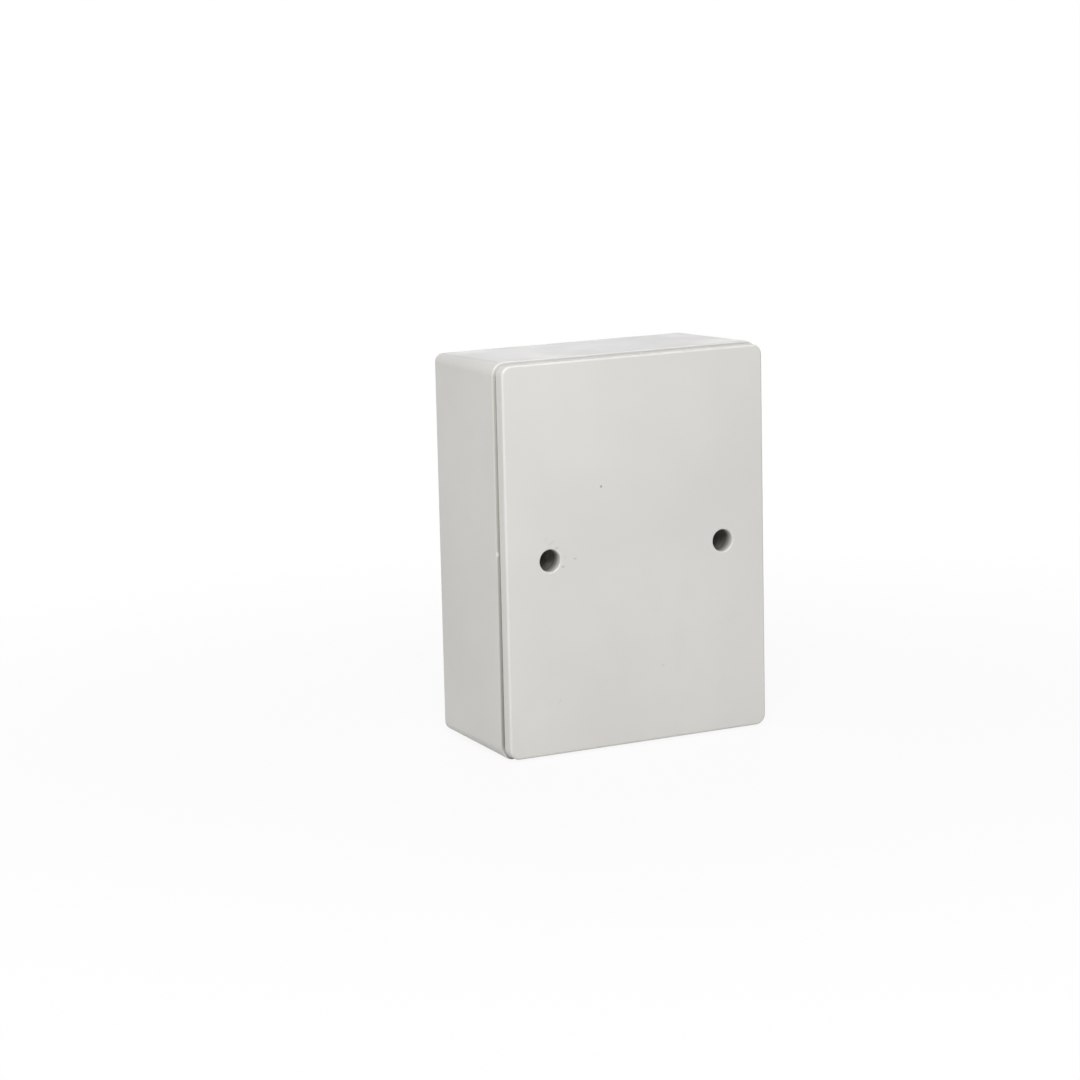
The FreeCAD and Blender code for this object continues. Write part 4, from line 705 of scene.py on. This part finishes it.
def make_scale_print():
    """Ticks, numbers and arc round the dial, and the lamp's ring and word."""
    shape = bmesh.new()
    for step in range(SCALE_STEPS + 1):
        turn = SWEEP * (step / SCALE_STEPS - 0.5)
        out = Vector((math.sin(turn), 0, math.cos(turn)))
        tick = SHORT_TICK if step % 2 else LONG_TICK
        add_bar(shape, DIAL_CENTRE + out * (TICK_FOOT + tick / 2), TICK_WIDE, tick, turn)
        if tick == LONG_TICK:
            add_words(shape, str(step), DIAL_CENTRE + out * NUMBER_RING, NUMBER_HIGH)
    add_arc(shape, DIAL_CENTRE, SCALE_ARC_RADIUS, SCALE_ARC_WIDE, -SWEEP / 2, SWEEP / 2, steps=72)
    add_arc(shape, LAMP_CENTRE, LAMP_RING_RADIUS, LAMP_RING_WIDE, 0, FULL_TURN, steps=48)
    add_words(shape, "ON", LAMP_CENTRE - Vector((0, 0, LAMP_WORD_DOWN)), LAMP_WORD_HIGH)
    make_piece("scale_print", shape, INK)


def make_way_numbers():
    """Plain numbers over the four terminals."""
    shape = bmesh.new()
    for number, way in enumerate(WAY_CENTRES, start=1):
        add_words(shape, str(number), Vector((way.x, MARKING_FACE, way.z + MARKING_UP)), WAY_NUMBER_HIGH)
    make_piece("way_numbers", shape, INK)


# Copper side of the board

TRACK_HIGH = 0.030 * MM
TRACK_STEP = 0.001 * MM
PAD_HIGH = 0.060 * MM
PAD_MARGIN = 0.3 * MM
PAD_GAP = 0.08 * MM
PAD_WIDEST = 1.6 * MM
PIN_WIDEST = 1.2 * MM
PIN_TAIL = 1.0 * MM
PINNED_NODES = ("component_leads", "chip_legs", "terminal_tabs", "coil_pins", "relay_yoke",
                "fixed_terminal")

# Where pins come through the board: x and z in millimetres
PINS = {
    "terminal_1": (-14.4, -21.04), "terminal_2": (-4.8, -21.04),
    "terminal_3": (4.8, -21.04), "terminal_4": (14.4, -21.04),
    "fuse_left": (-17.74, 7.0), "fuse_right": (-12.66, 7.0),
    "varistor_left": (12.85, 6.75), "varistor_right": (17.85, 6.75),
    "bridge_left_foot": (-17.89, 16.86), "bridge_right_foot": (-12.81, 16.86),
    "bridge_left_top": (-17.89, 21.94), "bridge_right_top": (-12.81, 21.94),
    "relay_common": (-4.2, -13.97), "relay_contact": (-4.2, 3.78),
    "coil_left": (-8.0, -15.52), "coil_right": (-0.4, -15.52),
    "film_foot": (6.4, -16.89), "film_top": (6.4, -1.89),
    "can_foot": (6.6, 2.31), "can_top": (6.6, 5.81),
    "transistor_left": (13.25, -7.2), "transistor_middle": (15.15, -7.2),
    "transistor_right": (17.05, -7.2),
    "leg_1": (-18.77, -7.81), "leg_4": (-18.77, -15.43),
    "leg_5": (-11.15, -15.43), "leg_7": (-11.15, -10.35), "leg_8": (-11.15, -7.81),
    "dial_left": (-7.54, 15.4), "dial_middle": (-5.0, 15.4), "dial_right": (-2.46, 15.4),
    "lamp_left": (10.73, 18.4), "lamp_right": (13.27, 18.4),
    "resistor_a_left": (-10.2, 28.0), "resistor_a_right": (-1.8, 28.0),
    "resistor_b_left": (2.8, 28.0), "resistor_b_right": (11.2, 28.0),
    "resistor_c_left": (10.95, -14.54),
    "zener_left": (10.95, -17.44), "zener_right": (19.35, -17.44),
}

# Tracks: the width, then each stop, which is a pin or a turn at x and z, in millimetres
TRACKS = [
    (1.0, "terminal_1", (-19.6, -21.04), (-21.65, -19.0), (-21.65, 4.2), (-18.85, 7.0), "fuse_left"),
    (1.4, "fuse_right", "bridge_right_foot"),
    (1.8, "fuse_right", (-9.9, 9.6), (9.4, 9.6), (12.25, 6.75), "varistor_left"),
    (2.2, "relay_contact", (-4.2, 9.6)),
    (1.4, "film_top", (4.0, 0.5), (4.0, 9.6)),
    (2.2, "relay_common", (-4.8, -15.6), "terminal_2"),
    (1.0, "terminal_4", (19.8, -21.04), (21.65, -19.2), (21.65, 4.6), (19.5, 6.75), "varistor_right"),
    (0.9, "film_foot", (8.75, -14.54), "resistor_c_left"),
    (0.9, "zener_right", (19.35, -9.5), "transistor_right"),
    (0.9, "terminal_3", (7.4, -21.04), "zener_left", (13.25, -15.14), "transistor_left"),
    (0.8, "coil_right", (3.42, -11.7), (11.7, -11.7), (13.25, -10.15)),
    (0.7, "transistor_middle", (15.15, -6.0), (14.4, -5.25), (2.4, -5.25), (-2.15, -9.8), (-10.6, -9.8),
     "leg_7"),
    (0.7, "coil_left", "leg_5"),
    (0.7, "leg_4", "leg_1"),
    (0.7, "leg_8", (-8.9, -5.55), (-8.9, 5.2)),
    (0.8, "dial_left", (-9.2, 17.06), (-9.2, 27.0), "resistor_a_left"),
    (0.8, "dial_middle", (-5.0, 12.4), (-17.9, 12.4), "bridge_left_foot"),
    (0.8, "dial_right", (-0.2, 17.66), (-0.2, 25.0), "resistor_b_left"),
    (0.8, "resistor_a_right", "resistor_b_left"),
    (0.8, "resistor_b_right", (13.27, 25.93), "lamp_right"),
    (0.8, "bridge_right_top", (-9.9, 24.85), (-9.9, 25.6)),
    (1.0, "can_top", (8.9, 5.81), (8.9, 2.31), "can_foot"),
    (0.8, "bridge_left_top", (-15.2, 24.6), (-15.2, 29.2), (16.0, 29.2), (18.9, 23.0), (18.9, 12.0),
     (15.4, 12.0), (13.9, 13.5), (11.5, 13.5), "lamp_left"),
]


def track_sides(spots, wide):
    """The two corners of a track at each of its stops, mitred between the runs."""
    runs = [(after - earlier).normalized() for earlier, after in zip(spots, spots[1:])]
    for spot, come, leave in zip(spots, [runs[0], *runs], [*runs, runs[-1]]):
        aside = Vector((-(come + leave).y, (come + leave).x)).normalized()
        reach = wide / 2 / max(0.5, aside.dot(Vector((-leave.y, leave.x))))
        sides = (spot - aside * reach, spot + aside * reach)
        yield [Vector((side.x, BOARD_REAR, side.y)) for side in sides]


def add_track(shape, spots, wide, rise):
    """Flat track: an edge extruded from stop to stop, then given its height."""
    first, *others = track_sides(spots, wide)
    ends = [shape.verts.new(corner) for corner in first]
    shape.edges.new(ends)
    strip = []
    for corners in others:
        grown = bmesh.ops.extrude_edge_only(shape, edges=[shape.edges.get(ends)])["geom"]
        strip += [item for item in grown if isinstance(item, bmesh.types.BMFace)]
        fresh = [item for item in grown if isinstance(item, bmesh.types.BMVert)]
        ends = sorted(fresh, key=lambda corner: (corner.co - ends[0].co).length)
        for end, corner in zip(ends, corners):
            end.co = corner
    raise_flat(shape, strip, rise)


def make_board_tracks():
    """Tracks under the lacquer, each at its own level so that none lies in another's face."""
    shape = bmesh.new()
    for number, (wide, *stops) in enumerate(TRACKS):
        spots = [Vector(PINS.get(stop, stop)) * MM for stop in stops]
        add_track(shape, spots, wide * MM, TRACK_HIGH + number * TRACK_STEP)
    make_piece("board_tracks", shape, SCREENED_TRACK)


def pin_places(name):
    """Where a node's pins leave the board's rear: each place and the radius of its pad."""
    corners = [corner.co for corner in nodes[name].data.vertices]
    tips = [Vector((spot.x, spot.z)) for spot in corners if spot.y > BOARD_REAR + PIN_TAIL]
    foot = [Vector((spot.x, spot.z)) for spot in corners if abs(spot.y - BOARD_REAR) < 0.05 * MM]
    pins = []
    for tip in tips:
        home = next((pin for pin in pins if (pin[0] - tip).length < PIN_WIDEST), None)
        if home is None:
            pins.append([tip])
        else:
            home.append(tip)
    middles = [sum(pin, Vector((0, 0))) / len(pin) for pin in pins]
    for middle in middles:
        room = min([(other - middle).length / 2 for other in middles if other != middle] + [PAD_WIDEST])
        solder = max(away for away in ((spot - middle).length for spot in foot) if away < room)
        yield middle, min(solder + PAD_MARGIN, room - PAD_GAP)


def make_board_pads():
    """Bare tinned pads round the soldered pins."""
    shape = bmesh.new()
    for name in PINNED_NODES:
        for middle, radius in pin_places(name):
            place = Matrix.Translation((middle.x, BOARD_REAR, middle.y)) @ TO_REAR
            disc = bmesh.ops.create_circle(shape, cap_ends=True, segments=28, radius=radius, matrix=place)
            raise_flat(shape, faces_at(disc["verts"]), PAD_HIGH)
    make_piece("board_pads", shape, FINISHES["tinned_metal"])


make_scale_print()
make_way_numbers()
make_board_tracks()
make_board_pads()


# Camera at the photograph's angle, lamps, world, floor

LENS = 111.235
SENSOR = 36.0
CAMERA_PLACE = Vector((269.805, 479.719, 101.411)) * MM
CAMERA_TURN = (79.774, 1.305, 152.111)      # degrees about X, Y and Z
CAMERA_REACH = (0.01, 50.0)
WORLD_LIGHT = 0.40
WHITE = (1.0, 1.0, 1.0, 1.0)
FLOOR_GREY = (0.7, 0.7, 0.7)
FLOOR_HALF = 12.0
SHADE_NEAR, SHADE_FAR = 0.05, 0.22      # the floor turns fully white between these distances
SHADE_WHITE = 0.91

# Lamps: place, size and power
LAMPS = {
    "key": ((0.16, 0.27, 0.25), 0.16, 1.04),
    "side": ((0.50, 0.05, 0.10), 0.3, 0.28),
    "front_fill": ((-0.45, -0.85, 0.26), 0.6, 3.8),
}


def make_camera():
    """Camera where the photograph was taken from."""
    data = bpy.data.cameras.new("camera")
    data.lens = LENS
    data.sensor_width = SENSOR
    data.clip_start, data.clip_end = CAMERA_REACH
    camera = put_in_scene("camera", data)
    camera.location = CAMERA_PLACE
    camera.rotation_euler = [math.radians(angle) for angle in CAMERA_TURN]
    scene.camera = camera


def make_lamp(name, place, size, power):
    """Square soft light turned to the object."""
    data = bpy.data.lights.new(name, "AREA")
    data.size = size
    data.energy = power
    light = put_in_scene(name, data)
    light.location = place
    light.rotation_mode = "QUATERNION"
    light.rotation_quaternion = (OBJECT_MIDDLE - Vector(place)).to_track_quat("-Z", "Y")


def seen_directly(tree):
    """1 for what the camera sees itself, in a mirror or through glass."""
    path = tree.nodes.new("ShaderNodeLightPath")
    seen = calc(tree, "MAXIMUM", path.outputs["Is Camera Ray"], path.outputs["Is Glossy Ray"])
    return calc(tree, "MAXIMUM", seen, path.outputs["Is Transmission Ray"])


def light_or_show(tree, amount, lighting, shown, target):
    """Blend from the shader that lights the object to the one that is seen."""
    mixed = tree.nodes.new("ShaderNodeMixShader")
    for socket, source in zip(mixed.inputs, (amount, lighting.outputs[0], shown.outputs[0])):
        tree.links.new(source, socket)
    tree.links.new(mixed.outputs[0], tree.nodes[target].inputs["Surface"])


def make_world():
    """Even soft light, seen as white."""
    world = bpy.data.worlds.new("studio")
    scene.world = world
    world.use_nodes = True
    tree = world.node_tree
    soft = tree.nodes["Background"]
    white = tree.nodes.new("ShaderNodeBackground")
    for background, strength in ((soft, WORLD_LIGHT), (white, 1.0)):
        background.inputs["Color"].default_value = WHITE
        background.inputs["Strength"].default_value = strength
    light_or_show(tree, seen_directly(tree), soft, white, "World Output")


def make_floor():
    """Wide pale floor, white to the camera but for the object's soft shadow."""
    material, tree, shader, place = start_finish("pale_floor", FLOOR_GREY, 0.9, Specular_IOR_Level=0.0)
    glow = tree.nodes.new("ShaderNodeEmission")
    glow.inputs["Strength"].default_value = 1.0
    white = spread(tree, measure(tree, "LENGTH", place), SHADE_NEAR, SHADE_FAR, SHADE_WHITE, 1.0)
    light_or_show(tree, product(tree, seen_directly(tree), white), shader, glow, "Material Output")
    shape = bmesh.new()
    bmesh.ops.create_grid(shape, x_segments=1, y_segments=1, size=FLOOR_HALF)
    bmesh.ops.translate(shape, vec=(0, 0, SHELL_LOW.z), verts=shape.verts)
    put_in_scene("floor", mesh_from("floor", shape, material))


make_camera()
for name, values in LAMPS.items():
    make_lamp(name, *values)
make_world()
make_floor()
scene.view_settings.view_transform = "Standard"
